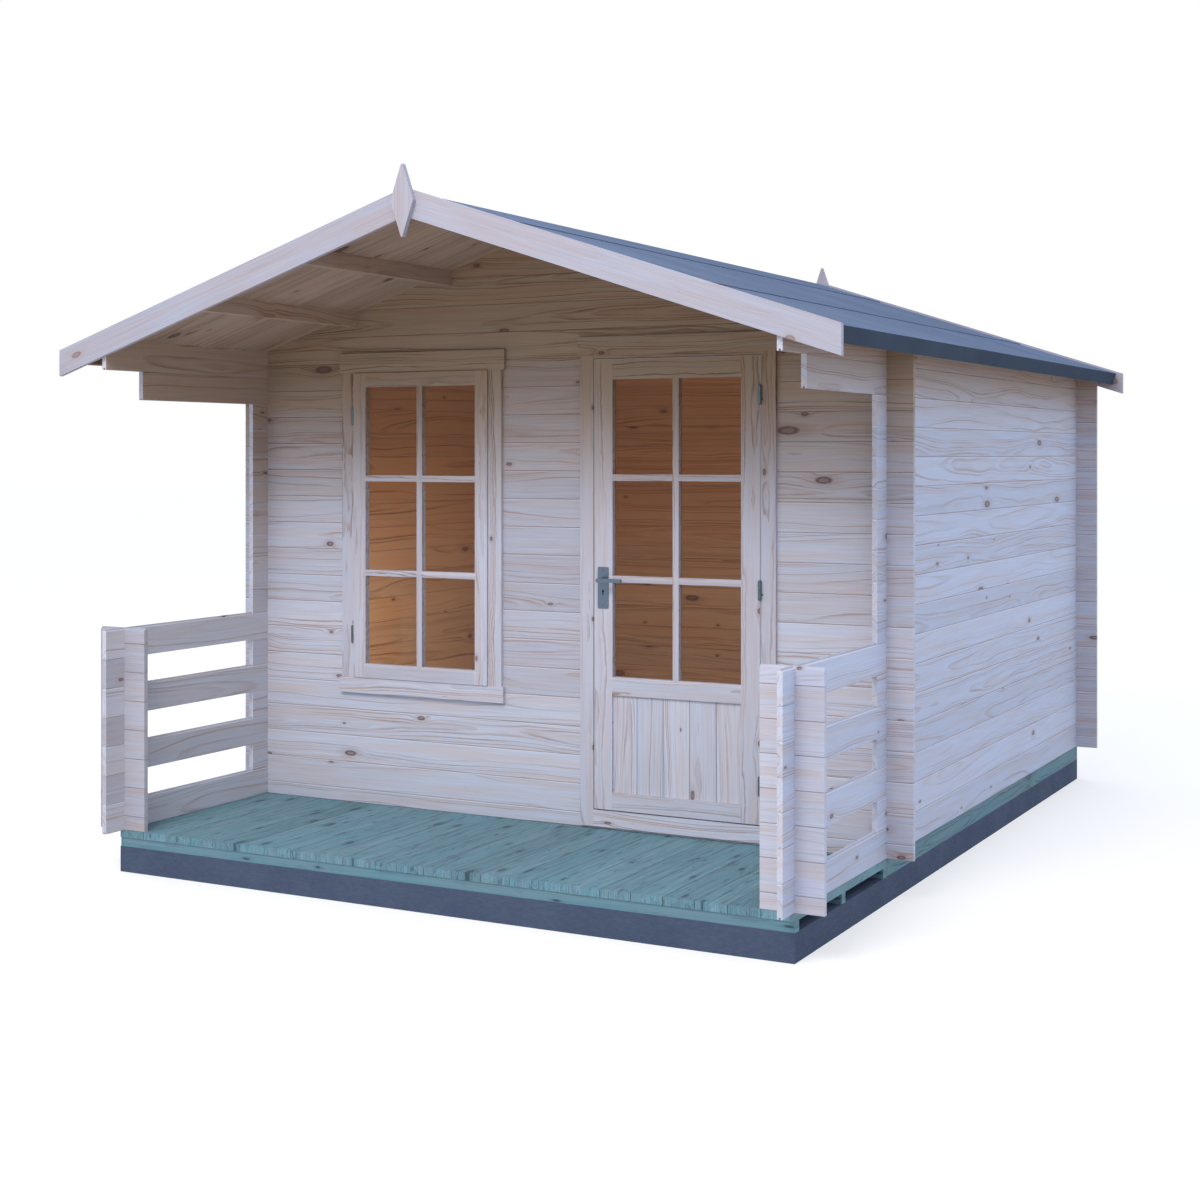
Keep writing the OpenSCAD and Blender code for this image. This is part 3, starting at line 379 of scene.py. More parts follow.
# place(tree, x, y, z) gives the point as along, across and depth in its board, with the
# board's number and the joint's seam and lip
def woodMaterial(name, place, look, width=0.114, shelter=None, outdoors=True, logEnds=False,
                 inward=False):
    made, tree, shader = newMaterial(name)
    x, y, z = axes(tree, coordinates(tree))
    along, across, depth, board, seam, lip = place(tree, x, y, z)
    look = dict(look)
    pale = look["Pale"]
    facing = axes(tree, coordinates(tree, "Normal"))
    forward = above(tree, absolute(tree, facing[1]), 0.7)
    wide = absolute(tree, x)
    # painted light: faces that look out from the cabin's sides take the bluish sky tint
    if outdoors:
        aside = above(tree, times(tree, facing[0], calc(tree, "SIGN", x)), 0.6)
        look["Pale"] = blendColours(tree, aside, pale, tinted(pale, silver))
    # painted shade on the fronts of the log ends beyond the side walls
    if logEnds:
        beyond = times(tree, above(tree, wide, pastWalls), forward)
        look["Pale"] = blendColours(tree, beyond, look["Pale"], tinted(pale, greyed))
    # painted shade: a darker honey towards the roof; indoors amber, darker further up
    if shelter is not None:
        end = times(tree, times(tree, shelter["Inner"], forward), below(tree, wide, pastWalls))
        kept = useGroup(tree, shelterGroup, {"X": x, "Y": y, "Z": z, "End": end, **shelter})
        sheltered, indoors = kept["Sheltered"], kept["Indoors"]
        if inward:
            indoors = above(tree, facing[1], 0.5)
        honey = honeyLook if shelter["Inner"] else porchHoney
        high = ramp(tree, z, 0.8, 1.6)
        for key in honey:
            amber = blendColours(tree, high, amberLook[key], tinted(amberLook[key], amberTop))
            outside = blendColours(tree, sheltered, look[key], honey[key])
            look[key] = blendColours(tree, indoors, outside, amber)
    wood = useGroup(tree, pineGroup, {"Along": along, "Across": across, "Depth": depth,
                                      "Board": board, "Width": width, **look})
    shade = wood["Color"]
    if seam is not None:
        shade = blendColours(tree, times(tree, seam, joint["dark"]), shade, joint["colour"])
    # painted highlight on each log's top edge, left out under the painted shade and indoors
    if lip is not None:
        light = times(tree, lip, joint["lipLight"])
        if shelter is not None:
            bare = minus(tree, 1.0, calc(tree, "MAXIMUM", sheltered, indoors))
            light = times(tree, light, bare)
        shade = blendColours(tree, light, shade, joint["lip"])
    fill(tree, shader, {"Base Color": shade, "Specular IOR Level": 0.3,
                        "Roughness": ramp(tree, wood["Height"], 0.0, 0.8, 0.70, 0.54),
                        "Normal": bump(tree, wood["Height"], 0.35, 0.0012)})
    return made


def boards(tree, across, start, pitch, seed):
    return useGroup(tree, boardGroup, {"Across": across, "Start": start, "Pitch": pitch,
                                       "Seed": seed})


# Logs that run across the cabin lie half a course lower than those of the side walls
def acrossCabin(seed, face):
    def place(tree, x, y, z):
        log = boards(tree, z, wallFoot - course / 2, course, seed)
        return x, log["Across"], minus(tree, y, face), log["Board"], log["Seam"], log["Lip"]
    return place


# The rails of the porch have no log on the one below, and so no seam
def alongCabin(seed, face):
    def place(tree, x, y, z):
        log = boards(tree, z, wallFoot, course, seed)
        seam = times(tree, log["Seam"], above(tree, y, frontFace))
        return y, log["Across"], minus(tree, x, face), log["Board"], seam, log["Lip"]
    return place


# The short logs of a post: those in the porch's front line, and those that cross them
def crossedLogs(seed):
    def place(tree, x, y, z):
        lower = boards(tree, z, wallFoot - course / 2, course, seed)
        upper = boards(tree, z, wallFoot, course, seed + 40.0)
        deep = minus(tree, y, deckLow[1] + logThick / 2)
        side = minus(tree, absolute(tree, x), (postLow[0] + postHigh[0]) / 2)
        onLine = below(tree, absolute(tree, deep), logThick / 2 + 0.0003)
        pairs = [(x, y), (lower["Across"], upper["Across"]), (deep, side),
                 (lower["Board"], upper["Board"]), (lower["Seam"], upper["Seam"])]
        return (*[choose(tree, onLine, *pair) for pair in pairs], None)
    return place


# One board. Each axis may be measured from a centre, mirrored first where its name starts
# with a minus sign; parts on the two sides of zero of the split axis differ.
def plainBoard(seed, along="x", across=("z", 0.0), depth=("y", 0.0), split=None):
    def place(tree, x, y, z):
        axis = {"x": x, "y": y, "z": z}
        for key in "xyz":
            axis["-" + key] = absolute(tree, axis[key])
        board = seed
        if split:
            board = timesPlus(tree, above(tree, axis[split], 0.0), 5.7, seed)
        return (axis[along], minus(tree, axis[across[0]], across[1]),
                minus(tree, axis[depth[0]], depth[1]), board, None, None)
    return place


# A row of boards side by side
def boardRow(seed, start, pitch, along, across, depth, face):
    def place(tree, x, y, z):
        axis = {"x": x, "y": y, "z": z}
        board = boards(tree, axis[across], start, pitch, seed)
        return (axis[along], board["Across"], minus(tree, axis[depth], face), board["Board"],
                board["Seam"], None)
    return place


# Stiles and jambs stand over the heights in span, and a middle bar over those in barSpan.
# Rails lie between them, told apart in steps of 0.2 m up from railFrom.
def joined(seed, centre, innerHalf, uprightAt, railFrom, span=(-1.0, 9.0), barSpan=(9.0, 9.0),
           barHalf=0.0, clearRails=False):
    def place(tree, x, y, z):
        def within(heights):
            return times(tree, above(tree, z, heights[0]), below(tree, z, heights[1]))

        off = minus(tree, x, centre)
        wide = absolute(tree, off)
        stile = times(tree, above(tree, wide, innerHalf), within(span))
        bar = times(tree, below(tree, wide, barHalf), within(barSpan))
        upright = calc(tree, "MAXIMUM", stile, bar)
        rail = boards(tree, z, railFrom, 0.2, seed + 9.0)
        acrossUpright = choose(tree, bar, off, minus(tree, wide, uprightAt))
        side = above(tree, off, 0.0)
        uprightBoard = timesPlus(tree, bar, clearBoard, timesPlus(tree, side, 2.3, seed))
        railBoard = plus(tree, rail["Board"], clearBoard if clearRails else 0.0)
        return (choose(tree, upright, z, x), choose(tree, upright, acrossUpright, rail["Across"]),
                minus(tree, y, frontFace), choose(tree, upright, uprightBoard, railBoard),
                None, None)
    return place


# Down the slope of the roof, mirrored about the ridge, and square to the slope
def downSlope(tree, x, z):
    out, fall = absolute(tree, x), minus(tree, z, ridgeZ)
    run, rise = math.cos(roofPitch), math.sin(roofPitch)
    return (minus(tree, times(tree, out, run), times(tree, fall, rise)),
            plus(tree, times(tree, out, rise), times(tree, fall, run)))


def roofBoardPlace(seed, start, pitch):
    def place(tree, x, y, z):
        down, square = downSlope(tree, x, z)
        board = boards(tree, y, start, pitch, seed)
        which = timesPlus(tree, above(tree, x, 0.0), 61.3, board["Board"])
        return down, board["Across"], square, which, board["Seam"], None
    return place


def bargePlace(seed, middle, face):
    def place(tree, x, y, z):
        down, square = downSlope(tree, x, z)
        board = timesPlus(tree, above(tree, y, 0.0), 11.3,
                          timesPlus(tree, above(tree, x, 0.0), 3.1, seed))
        return (down, minus(tree, square, middle), minus(tree, absolute(tree, y), face), board,
                None, None)
    return place


def purlinPlace(seed, pitch):
    def place(tree, x, y, z):
        purlin = boards(tree, x, -pitch / 2, pitch, seed)
        return y, purlin["Across"], downSlope(tree, x, z)[1], purlin["Board"], None, None
    return place


# Where joints and boards lie, in metres: rails and boards by their height, casings by their
# distance from the opening's middle or the sash's edge. panelBoards, roofBoards and boards
# are counts, and the last one holds for the floor and for the deck.
lay = {"rebate": 0.0086, "barHalf": 0.013, "barFoot": 0.01, "barTop": 0.009,
       "sashFoot": 0.06, "sashRails": 0.67, "leafRails": 0.035,
       "windowRails": 0.57, "windowJamb": (-0.0135, 0.033), "windowFit": 0.0012,
       "doorRails": 1.93, "doorJamb": (0.3606, 0.385), "trim": 2.08, "sill": 0.67,
       "threshold": 0.2, "joist": 0.118, "bearer": 0.13, "purlinPitch": 0.48,
       "roofEnd": 2.041, "roofBoards": 34, "bargeMiddle": -0.04, "bargeFace": 2.061,
       "finialFace": 2.081, "panelBoards": 5, "boards": 24, "boardGap": 0.002}
sashMiddle = (sashLow[0] + sashHigh[0]) / 2
sashHalf = (sashHigh[0] - sashLow[0]) / 2
leafMiddle = (leafLow[0] + leafHigh[0]) / 2
sashInner = (sashGlassHigh[0] - sashGlassLow[0]) / 2 - lay["rebate"]
leafInner = (doorGlassHigh[0] - doorGlassLow[0]) / 2 - lay["rebate"]
deckPitch = (deckHigh[0] - deckLow[0] + lay["boardGap"]) / lay["boards"]
floorPitch = (floorHigh[0] - floorLow[0] + lay["boardGap"]) / lay["boards"]
# painted shade settings: darker honey from Low up to High; Inner adds painted bounce light
porch = {"Low": 1.28, "High": 2.04, "Outside": 1.0, "Inner": 0.0}    # under the porch roof
porchMiddle = {**porch, "Low": 1.33, "High": 2.2}
eaves = {"Low": 1.72, "High": 2.06, "Outside": 0.9, "Inner": 1.0}    # in the eaves' shade
joineryLook = {**pineLook, "Pale": (0.565, 0.55, 0.61, 1), "Line": (0.36, 0.24, 0.20, 1),
               "Knots": 0.42, "Knot Size": 0.011, "Knot Stretch": 1.8, "Knot Hollow": 0.7,
               "Ring Spacing": 0.009, "Wave": 0.03, "Streaks": 0.3}
roofLook = {**pineLook, **honeyLook, "Knots": 0.5, "Knot Size": 0.012, "Knot Stretch": 2.4,
            "Knot Colour": (0.03, 0.02, 0.015, 1), "Line Strength": 1.0, "Board Change": 0.25}
# painted shade: the bargeboards' pine is drawn darker, where the key lamp lights them more
bargeLook = {**pineLook, "Pale": (0.42, 0.405, 0.46, 1), "Line": (0.42, 0.31, 0.28, 1),
             "Knot Colour": (0.22, 0.14, 0.13, 1), "Knots": 0.2, "Knot Size": 0.012,
             "Knot Stretch": 2.2, "Knot Hollow": 0.5, "Line Strength": 0.6, "Ring Spacing": 0.006,
             "Wave": 0.008}
woods = {
    "right_wall": woodMaterial("rightWallPine", alongCabin(1.0, rightFace), sideLook,
                               shelter=eaves),
    "left_wall": woodMaterial("leftWallPine", alongCabin(51.0, leftFace), sideLook,
                              shelter=eaves),
    "left_rails": woodMaterial("leftRailPine", alongCabin(51.0, leftFace), railLook,
                               shelter=eaves),
    "front_wall_base": woodMaterial("frontWallPine", acrossCabin(101.0, frontFace), pineLook,
                                    shelter=porch, logEnds=True),
    # painted shade: the logs between the window and the door are drawn darker than the wall
    "front_wall_middle": woodMaterial("middleWallPine", acrossCabin(101.0, frontFace), {
        **pineLook, "Pale": (0.50, 0.49, 0.55, 1)}, shelter=porchMiddle),
    "back_wall": woodMaterial("backWallPine", acrossCabin(151.0, backFace), pineLook,
                              shelter=eaves, logEnds=True),
    "right_post": woodMaterial("postPine", crossedLogs(201.0), {
        **pineLook, "Line Strength": 0.5}, logEnds=True),
    # painted shade: the left post is drawn darker than the right one
    "left_post": woodMaterial("leftPostPine", crossedLogs(221.0), {
        **pineLook, "Pale": (0.475, 0.47, 0.525, 1), "Line Strength": 0.5}, logEnds=True),
    "window_sash": woodMaterial("sashPine", joined(
        251.0, sashMiddle, sashInner, (sashInner + sashHalf) / 2, lay["sashRails"],
        barSpan=(sashLow[2] + lay["sashFoot"], sashGlassHigh[2] - lay["barTop"]),
        barHalf=lay["barHalf"], clearRails=True), joineryLook, width=0.06, shelter=porch),
    "window_frame": woodMaterial("windowCasingPine", joined(
        301.0, sashMiddle, sashHalf + lay["windowJamb"][0], sashHalf + lay["windowJamb"][1],
        lay["windowRails"], (sashLow[2] - lay["windowFit"], sashHigh[2] + lay["windowFit"])),
        joineryLook, width=0.07, shelter=porch),
    "door_leaf": woodMaterial("doorPine", joined(
        353.0, leafMiddle, leafInner, (leafInner + (leafHigh[0] - leafMiddle)) / 2,
        lay["leafRails"], barSpan=(doorGlassLow[2] + lay["barFoot"],
                                   doorGlassHigh[2] - lay["barTop"]),
        barHalf=lay["barHalf"], clearRails=True), joineryLook, width=0.08, shelter=porch),
    "door_frame": woodMaterial("doorCasingPine", joined(
        401.0, leafMiddle, *lay["doorJamb"], lay["doorRails"]), joineryLook, width=0.06,
        shelter=porch),
    "door_panel": woodMaterial("panelPine", boardRow(
        451.0, panelLow[0], (panelHigh[0] - panelLow[0]) / lay["panelBoards"], "z", "x", "y",
        panelLow[1]), {**pineLook, "Knots": 0.4, "Knot Size": 0.008}, shelter=porch, inward=True),
    "window_trim": woodMaterial("trimPine", plainBoard(
        501.0, "x", ("z", lay["trim"]), ("y", frontFace), "x"), pineLook, width=0.07,
        shelter=porch),
    "window_sill": woodMaterial("sillPine", plainBoard(
        511.0, "x", ("z", lay["sill"]), ("y", frontFace)), pineLook, width=0.07),
    "threshold": woodMaterial("thresholdPine", plainBoard(
        521.0, "x", ("z", lay["threshold"]), ("y", frontFace)), pineLook, width=0.07),
    "purlins": woodMaterial("purlinPine", purlinPlace(551.0, lay["purlinPitch"]), roofLook,
                            width=0.06, outdoors=False),
    "roof_boards_right": woodMaterial("roofBoardPine", roofBoardPlace(
        601.0, -lay["roofEnd"], 2 * lay["roofEnd"] / lay["roofBoards"]), roofLook, outdoors=False),
    "bargeboards": woodMaterial("bargePine", bargePlace(
        651.0, lay["bargeMiddle"], lay["bargeFace"]), bargeLook, width=0.14),
    "finials": woodMaterial("finialPine", plainBoard(
        701.0, "z", ("x", 0.0), ("-y", lay["finialFace"]), "y"), bargeLook, width=0.1),
    "floor_boards": woodMaterial("floorPine", boardRow(
        751.0, floorLow[0], floorPitch, "y", "x", "z", floorHigh[2]),
        {**pineLook, **honeyLook}, outdoors=False),
    "deck_boards": woodMaterial("deckTimber", boardRow(
        801.0, deckLow[0], deckPitch, "y", "x", "z", deckHigh[2]), greenLook, width=0.118,
        outdoors=False),
    "deck_joists": woodMaterial("joistTimber", plainBoard(
        851.0, "x", ("z", lay["joist"]), ("y", deckLow[1])),
        {**greenLook, "Streaks": 0.7, "Dashes": 0.3}, width=0.05, outdoors=False),
    "bearers": woodMaterial("bearerTimber", plainBoard(
        861.0, "y", ("z", lay["bearer"]), ("-x", rightFace), "x"), bearerLook,
        width=0.06, outdoors=False)}
shared = {"front_wall_base": ["front_wall_left", "front_wall_right", "front_gable"],
          "back_wall": ["back_gable"], "right_wall": ["right_rails", "right_plates"],
          "left_wall": ["left_plates"], "window_trim": ["door_trim"],
          "roof_boards_right": ["roof_boards_left"]}
print("wood made")


# Further down the slope than "beyond" a sheet has the folded tone: the felt's strip that is
# folded down over the fascia, and the fascia's stained face
def mineralFelt(name, tone, beyond, grit):
    made, tree, shader = newMaterial(name)
    place = coordinates(tree)
    at = axes(tree, place)
    past = above(tree, downSlope(tree, at[0], at[2])[0], beyond)
    grains = noise(tree, place, 420.0, 3.0, 0.7)[0]
    cloud = noise(tree, place, 1.6, 4.0, 0.55)[0]
    light = plus(tree, ramp(tree, grains, 0.3, 0.7, 1 - grit, 1 + grit),
                 ramp(tree, cloud, 0.3, 0.7, -0.08, 0.08))
    shade = lit(tree, blendColours(tree, past, tone, sheets["folded"]), light)
    fill(tree, shader, {"Base Color": shade, "Roughness": 0.9, "Specular IOR Level": 0.0,
                        "Normal": bump(tree, grains, 0.5, 0.0015)})
    return made


def roughMasonry():
    made, tree, shader = newMaterial("slateMasonry")
    place = coordinates(tree)
    broad = noise(tree, place, 5.0, 6.0, 0.6)[0]
    stretched = addNode(tree, "ShaderNodeMapping", {"Vector": place, "Scale": (40.0, 40.0, 140.0)})
    brushed = noise(tree, stretched.outputs[0], 1.0, 5.0, 0.65)[0]
    pits = addNode(tree, "ShaderNodeTexVoronoi", {"Vector": place, "Scale": 160.0}).outputs[0]
    mixed = timesPlus(tree, brushed, 0.6, times(tree, broad, 0.4))
    fill(tree, shader, {
        "Base Color": blendColours(tree, ramp(tree, mixed, 0.35, 0.68),
                                   (0.070, 0.090, 0.138, 1), (0.094, 0.116, 0.168, 1)),
        "Roughness": ramp(tree, mixed, 0.3, 0.7, 0.92, 0.8), "Specular IOR Level": 0.12,
        "Normal": bump(tree, timesPlus(tree, pits, 0.4, mixed), 0.5, 0.003)})
    return made


def satinSteel(name, dark, pale):
    made, tree, shader = newMaterial(name)
    fine = noise(tree, coordinates(tree), 260.0, 3.0)[0]
    fill(tree, shader, {"Base Color": blendColours(tree, fine, dark, pale), "Metallic": 0.75,
                        "Roughness": ramp(tree, fine, 0.3, 0.7, 0.34, 0.5)})
    return made


# Lamps and soft light pass the panes, and everything else sees them as clear glass
def clearGlass():
    made, tree, shader = newMaterial("clearGlass")
    fill(tree, shader, {"Base Color": (0.95, 0.98, 0.97, 1), "Roughness": 0.0, "IOR": 1.2,
                        "Specular IOR Level": 0.25, "Transmission Weight": 1.0})
    path = tree.nodes.new("ShaderNodeLightPath").outputs
    passes = calc(tree, "MAXIMUM", path["Is Shadow Ray"], path["Is Diffuse Ray"])
    clear = tree.nodes.new("ShaderNodeBsdfTransparent")
    mixed = addNode(tree, "ShaderNodeMixShader", {0: passes, 1: shader.outputs[0],
                                                  2: clear.outputs[0]})
    surface = next(n for n in tree.nodes if n.type == "OUTPUT_MATERIAL")
    fill(tree, surface, {"Surface": mixed.outputs[0]})
    return made


# How far down the slope a sheet's outer face lies, from how wide the sheet reaches and how
# high its widest corner is, square to the slope
def edgeOf(wide, square):
    return (wide - square * math.sin(roofPitch)) / math.cos(roofPitch) - 0.0006


sheets = {"felt": (0.150, 0.182, 0.255, 1), "feltCorner": 0.023, "feltGrit": 0.25,
          "fascia": (0.24, 0.17, 0.12, 1), "fasciaCorner": 0.020, "fasciaGrit": 0.12,
          "folded": (0.072, 0.090, 0.124, 1)}
felt = mineralFelt("mineralFelt", sheets["felt"], edgeOf(spot("felt_right")[1][0],
                                                         sheets["feltCorner"]), sheets["feltGrit"])
fasciaStain = mineralFelt("fasciaStain", sheets["fascia"], edgeOf(
    spot("fascias")[1][0], sheets["fasciaCorner"]), sheets["fasciaGrit"])
masonry, glass = roughMasonry(), clearGlass()
handleSteel = satinSteel("handleSteel", (0.118, 0.158, 0.212, 1), (0.168, 0.215, 0.282, 1))
hingeSteel = satinSteel("hingeSteel", (0.10, 0.135, 0.145, 1), (0.145, 0.185, 0.195, 1))
# painted shade: a near-black steel for the piece in each keyhole
lockDark = satinSteel("lockDark", (0.010, 0.011, 0.013, 1), (0.022, 0.023, 0.026, 1))
screwSteel = satinSteel("screwSteel", (0.05, 0.065, 0.07, 1), (0.09, 0.11, 0.12, 1))


def dress(name, material):
    mesh = nodes[name].data
    mesh.materials.clear()
    mesh.materials.append(material)


for name, material in woods.items():
    for other in [name] + shared.get(name, []):
        dress(other, material)
for names, material in ((["felt_right", "felt_left", "felt_ridge"], felt),
                        (["fascias"], fasciaStain), (["plinth"], masonry),
                        (["window_hinges", "frame_hinges", "leaf_hinges"], hingeSteel),
                        (["handle_plates", "levers"], handleSteel),
                        (["window_glass", "door_glass"], glass)):
    for name in names:
        dress(name, material)
print("materials placed")


def addPiece(name, points, faces, material):
    mesh = bpy.data.meshes.new(name)
    mesh.from_pydata(np.array(points, float).tolist(), [], faces)
    mesh.materials.append(material)
    piece = bpy.data.objects.new(name, mesh)
    scene.collection.objects.link(piece)
    return piece


# Small turned parts. A profile of distances from the axis and heights along it, both in
# millimetres, is spun:
# point = place + height * axis + distance * outline * (cos turn * side + sin turn * up).
# Each open end is closed with one point in the middle, and a closed profile makes a ring.
def turned(name, profile, places, axis, material, body, steps=12, outline=1.0, ring=False):
    axis = np.array(axis, float)
    side = np.array([1.0, 0, 0])
    up = np.cross(axis, side)
    turn = np.arange(steps) * 2 * np.pi / steps
    distance, height = np.array(profile, float).T * 0.001
    around = (np.cos(turn)[:, None] * side + np.sin(turn)[:, None] * up) * np.reshape(
        np.broadcast_to(outline, steps), (steps, 1))
    shell = (height[:, None, None] * axis + distance[:, None, None] * around).reshape(-1, 3)
    shell = np.vstack([shell, height[0] * axis, height[-1] * axis])
    rows = np.arange(len(profile) if ring else len(profile) - 1)[:, None] * steps
    nextRows = (rows + steps) % (len(profile) * steps)
    here, along = np.arange(steps), (np.arange(steps) + 1) % steps
    quads = np.stack([rows + here, rows + along, nextRows + along, nextRows + here],
                     axis=-1).reshape(-1, 4)
    last = (len(profile) - 1) * steps
    caps = np.vstack([np.stack([along, here, np.full(steps, len(shell) - 2)], axis=-1),
                      np.stack([last + here, last + along, np.full(steps, len(shell) - 1)],
                               axis=-1)])
    if ring:
        shell, caps = shell[:-2], np.zeros((0, 3), int)
    shift = (np.arange(len(places)) * len(shell))[:, None, None]
    points = (np.array(places, float)[:, None, :] + shell).reshape(-1, 3)
    piece = addPiece(name, points, (quads + shift).reshape(-1, 4).tolist()
                     + (caps + shift).reshape(-1, 3).tolist(), material)
    piece.data.polygons.foreach_set("use_smooth", [True] * len(piece.data.polygons))
    piece.data.set_sharp_from_angle(angle=math.radians(35))
    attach(piece, body)


# Countersunk screws, two to each deck board over each joist
deckScrews = {"offset": 0.035, "rows": (-1.914, -1.482, -1.060),
              "profile": [(4.0, -0.6), (4.0, 0.1), (3.5, 0.3), (1.7, 0.3), (1.1, -0.4)]}
middles = deckLow[0] - lay["boardGap"] / 2 + deckPitch * (np.arange(lay["boards"]) + 0.5)
across, rowsY, sides = np.meshgrid(middles, deckScrews["rows"], (-1, 1), indexing="ij")
turned("deckScrews", deckScrews["profile"], np.stack([
    across + sides * deckScrews["offset"], rowsY, np.full(across.shape, deckHigh[2])],
    axis=-1).reshape(-1, 3), (0, 0, 1), screwSteel, "cabin", steps=10)

# Rounded ends of the hinge barrels, and a washer between the two halves of each. Radii and
# domeReach are in millimetres, lengths in metres, and domeFrom and domeTo are angles.
barrels = {"doorRadius": 7.0, "windowRadius": 6.0, "doorLength": 0.0683, "windowLength": 0.068,
           "domeFrom": 0.02, "domeTo": 0.47 * math.pi, "domeRings": 7, "domeHeight": 0.6,
           "domeReach": 0.2}


def dome(radius):
    lift = np.linspace(barrels["domeFrom"], barrels["domeTo"], barrels["domeRings"])
    reach = radius + barrels["domeReach"]
    return [(reach, -0.5)] + list(zip(reach * np.cos(lift),
                                      barrels["domeHeight"] * radius * np.sin(lift)))


def washer(radius):
    return [(radius - 1.0, -0.7), (radius + 0.4, -0.7), (radius + 0.7, 0.0),
            (radius + 0.4, 0.7), (radius - 1.0, 0.7)]


def dressBarrels(name, radius, length, x, y, feet, topBody):
    feet = np.array(feet, float)
    at = np.stack([np.full(len(feet), x), np.full(len(feet), y), feet], axis=-1)
    turned(name + "Feet", dome(radius), at, (0, 0, -1), hingeSteel, "cabin")
    turned(name + "Tops", dome(radius), at + (0, 0, length), (0, 0, 1), hingeSteel, topBody)
    turned(name + "Washers", washer(radius), at + (0, 0, length / 2), (0, 0, 1), screwSteel,
           topBody, ring=True)


dressBarrels("doorHinge", barrels["doorRadius"], barrels["doorLength"],
             *frame["record"]["behaviour"]["joints"][0]["pos_m"][:2],
             np.linspace(spot("frame_hinges")[0][2],
                         spot("leaf_hinges")[1][2] - barrels["doorLength"], 3), "door")
barrelLow, barrelHigh = spot("window_hinges")
dressBarrels("windowHinge", barrels["windowRadius"], barrels["windowLength"],
             *((barrelLow + barrelHigh) / 2)[:2],
             (barrelLow[2], barrelHigh[2] - barrels["windowLength"]), "cabin")

# Each handle plate has two screws, a collar round the lever and, behind the keyhole, a
# near-black piece that is painted shade. The hole and its slot are in millimetres, like the
# profiles, and the rest in metres.
lock = {"screwInset": 0.013, "keyDrop": 0.045, "holeRadius": 4.9, "slotHalf": 2.4,
        "slotEnd": 19.8, "steps": 120,
        "screw": [(4.2, -0.5), (4.2, 0.5), (3.4, 1.1), (1.6, 1.2), (1.0, 0.5)],
        "collar": [(9.6, 0.0), (12.6, 0.0), (12.6, 1.2), (11.6, 2.2), (9.6, 2.2)]}
leverX, _, leverZ = frame["record"]["behaviour"]["joints"][1]["pos_m"]
plateLow, plateHigh = spot("handle_plates")
for side, way, plateY, faceY in (("front", -1, plateLow[1], leafLow[1]),
                                 ("back", 1, plateHigh[1], leafHigh[1])):
    turned(side + "PlateScrews", lock["screw"], [
        (leverX, plateY, plateLow[2] + lock["screwInset"]),
        (leverX, plateY, plateHigh[2] - lock["screwInset"])], (0, way, 0), handleSteel, "door")
    turned(side + "LeverCollar", lock["collar"], [(leverX, plateY, leverZ)], (0, way, 0),
           handleSteel, "door", steps=24, ring=True)
    # the keyhole's outline is the further of the round hole's edge and the slot's edge
    turn = np.arange(lock["steps"]) * 2 * np.pi / lock["steps"]
    down = np.maximum(way * np.sin(turn), 1e-6)
    slot = np.minimum(lock["slotHalf"] / np.maximum(np.abs(np.cos(turn)), 1e-6),
                      lock["slotEnd"] / down)
    outline = np.where(way * np.sin(turn) > 0, np.maximum(slot, lock["holeRadius"]),
                       lock["holeRadius"])
    turned(side + "Lock", [(1.0, 0.2), (1.0, 1.0), (0.6, 1.2)],
           [(leverX, faceY, leverZ - lock["keyDrop"])], (0, way, 0), lockDark, "door",
           steps=lock["steps"], outline=outline)
print("screws, hinge ends and locks made")


# A seal in the gap round the leaf. Its profile is carried up one side, over the top and
# down the other: point = corner + out * outward + back * (0, 1, 0), where outward at a
# corner points along the mitre, and each open end is closed with one point.
def makeSeal():
    seal = {"gap": 0.0030, "back": 0.0015, "thick": 0.0045, "bead": 10, "foot": 0.002,
            "tucked": 0.0005}
    low, high = leafLow, leafHigh
    corners = np.array([(low[0], 0, low[2] + seal["foot"]), (low[0], 0, high[2]),
                        (high[0], 0, high[2]), (high[0], 0, low[2] + seal["foot"])])
    outward = np.array([(-1, 0, 0), (-1, 0, 1), (1, 0, 1), (1, 0, 0)])
    arc = np.linspace(-math.pi / 2, math.pi / 2, seal["bead"])
    out = np.concatenate([[-seal["tucked"]], seal["gap"] * 0.45 * (1 + np.cos(arc))
                          + 0.1 * seal["gap"], [-seal["tucked"]]])
    back = seal["back"] + seal["thick"] / 2 * (1 + np.concatenate([[-1], np.sin(arc), [1]]))
    rings = (corners[:, None, :] + out[None, :, None] * outward[:, None, :]
             + (low[1] + back)[None, :, None] * np.array([0, 1.0, 0]))
    count = rings.shape[1]
    points = np.vstack([rings.reshape(-1, 3), rings[0].mean(0), rings[-1].mean(0)])
    here, along = np.arange(count), (np.arange(count) + 1) % count
    rows = np.arange(len(corners) - 1)[:, None] * count
    quads = np.stack([rows + here, rows + count + here, rows + count + along, rows + along],
                     axis=-1).reshape(-1, 4)
    last = (len(corners) - 1) * count
    caps = np.vstack([np.stack([here, along, np.full(count, len(points) - 2)], axis=-1),
                      np.stack([last + along, last + here, np.full(count, len(points) - 1)],
                               axis=-1)])
    piece = addPiece("doorSeal", points, quads.tolist() + caps.tolist(), sealFoam())
    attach(piece, "door")


def sealFoam():
    made, tree, shader = newMaterial("sealFoam")
    fine = noise(tree, coordinates(tree), 700.0)[0]
    fill(tree, shader, {"Base Color": blendColours(tree, fine, (0.50, 0.46, 0.46, 1),
                                                   (0.62, 0.58, 0.58, 1)),
                        "Roughness": 0.9, "Normal": bump(tree, fine, 0.3, 0.0005)})
    return made


makeSeal()
print("seal made")


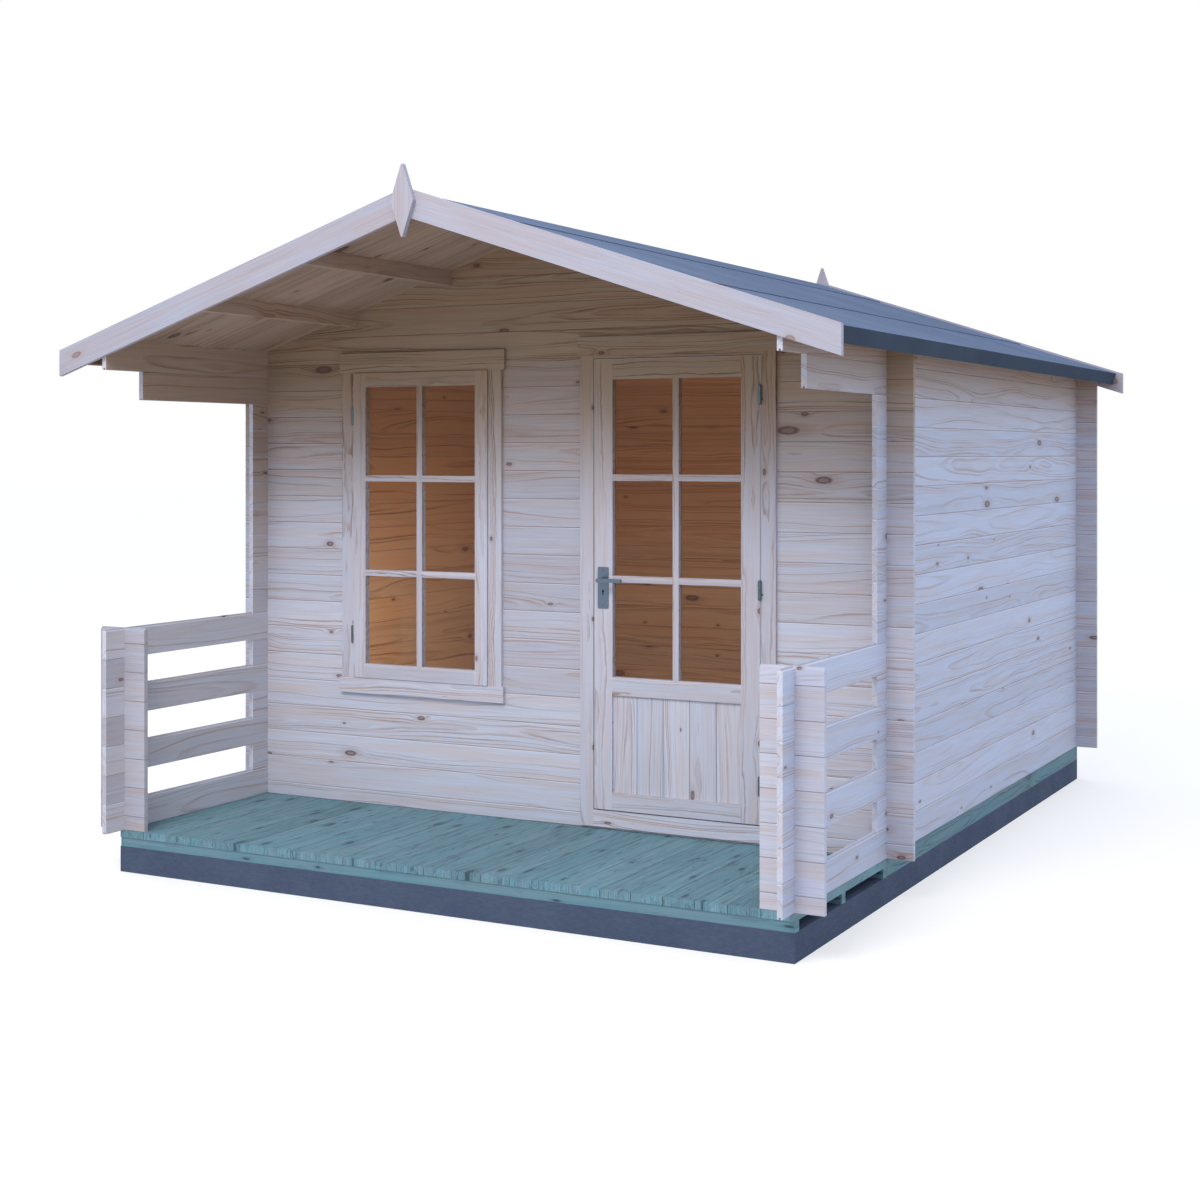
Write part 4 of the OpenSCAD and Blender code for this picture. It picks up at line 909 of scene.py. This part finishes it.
# floor, light and camera
stage = {"floor": (0.58, 0.54, 0.50, 1), "floorHalf": 60, "lift": 0.50,
         "sky": (0.87, 1.0, 1.22, 1), "skyStrength": 0.97,
         "keyAt": (0.5, -8.0, 7.6), "keyTo": (0.0, -1.0, 1.0), "keySize": 4.2, "keyPower": 415.0,
         "roomAt": (-0.25, 0.22, 0.78), "roomSize": (2.0, 0.8), "roomTilt": 88.0,
         "roomPower": 16.5, "cameraAt": (3.6647, -7.5278, 1.6578), "cameraTurn": 27.78,
         "lens": 55.24, "sensor": 36.0, "shiftY": -0.1214, "farthest": 200.0}


# 1 where the eye, a gloss or glass looks straight at it, so that it shows as white there
def seenDirectly(tree):
    path = tree.nodes.new("ShaderNodeLightPath").outputs
    return calc(tree, "MAXIMUM", path["Is Camera Ray"],
                calc(tree, "MAXIMUM", path["Is Glossy Ray"], path["Is Transmission Ray"]))


def makeFloor():
    made, tree, shader = newMaterial("paleFloor")
    fill(tree, shader, {"Base Color": stage["floor"], "Roughness": 0.9,
                        "Specular IOR Level": 0.0, "Emission Color": (1, 1, 1, 1),
                        "Emission Strength": times(tree, seenDirectly(tree), stage["lift"])})
    half = stage["floorHalf"]
    floor = addPiece("paleFloor", [(-half, -half, 0), (half, -half, 0), (half, half, 0),
                                   (-half, half, 0)], [(0, 1, 2, 3)], made)


def addLamp(name, power, at, **settings):
    data = bpy.data.lights.new(name, "AREA")
    data.energy = power
    for key, value in settings.items():
        setattr(data, key, value)
    lamp = bpy.data.objects.new(name, data)
    lamp.location = at
    lamp.visible_camera = lamp.visible_glossy = lamp.visible_transmission = False
    scene.collection.objects.link(lamp)
    return lamp


def makeLight():
    world = bpy.data.worlds.new("softSky")
    scene.world = world
    world.use_nodes = True
    tree = world.node_tree
    tree.nodes.clear()
    sky = addNode(tree, "ShaderNodeBackground", {"Color": stage["sky"],
                                                 "Strength": stage["skyStrength"]})
    plain = addNode(tree, "ShaderNodeBackground", {"Color": (1, 1, 1, 1), "Strength": 1.0})
    mixed = addNode(tree, "ShaderNodeMixShader", {0: seenDirectly(tree), 1: sky.outputs[0],
                                                  2: plain.outputs[0]})
    addNode(tree, "ShaderNodeOutputWorld", {"Surface": mixed.outputs[0]})
    key = addLamp("keyLight", stage["keyPower"], stage["keyAt"], shape="DISK",
                  size=stage["keySize"])
    key.rotation_mode = "QUATERNION"
    key.rotation_quaternion = Vector(np.subtract(stage["keyAt"], stage["keyTo"])).to_track_quat(
        "Z", "Y")
    # a wide soft lamp just inside the front wall, so that the room shows through the panes
    room = addLamp("roomLight", stage["roomPower"], np.add(stage["roomAt"], (0, frontFace, 0)),
                   shape="RECTANGLE", size=stage["roomSize"][0], size_y=stage["roomSize"][1])
    room.rotation_euler = (math.radians(stage["roomTilt"]), 0, 0)


def makeCamera():
    data = bpy.data.cameras.new("camera")
    data.lens, data.sensor_width = stage["lens"], stage["sensor"]
    data.shift_y, data.clip_end = stage["shiftY"], stage["farthest"]
    camera = bpy.data.objects.new("camera", data)
    camera.location = stage["cameraAt"]
    camera.rotation_euler = (math.radians(90), 0, math.radians(stage["cameraTurn"]))
    scene.collection.objects.link(camera)
    scene.camera = camera


makeFloor()
makeLight()
makeCamera()
scene.view_settings.view_transform = "Standard"
print("stage set")
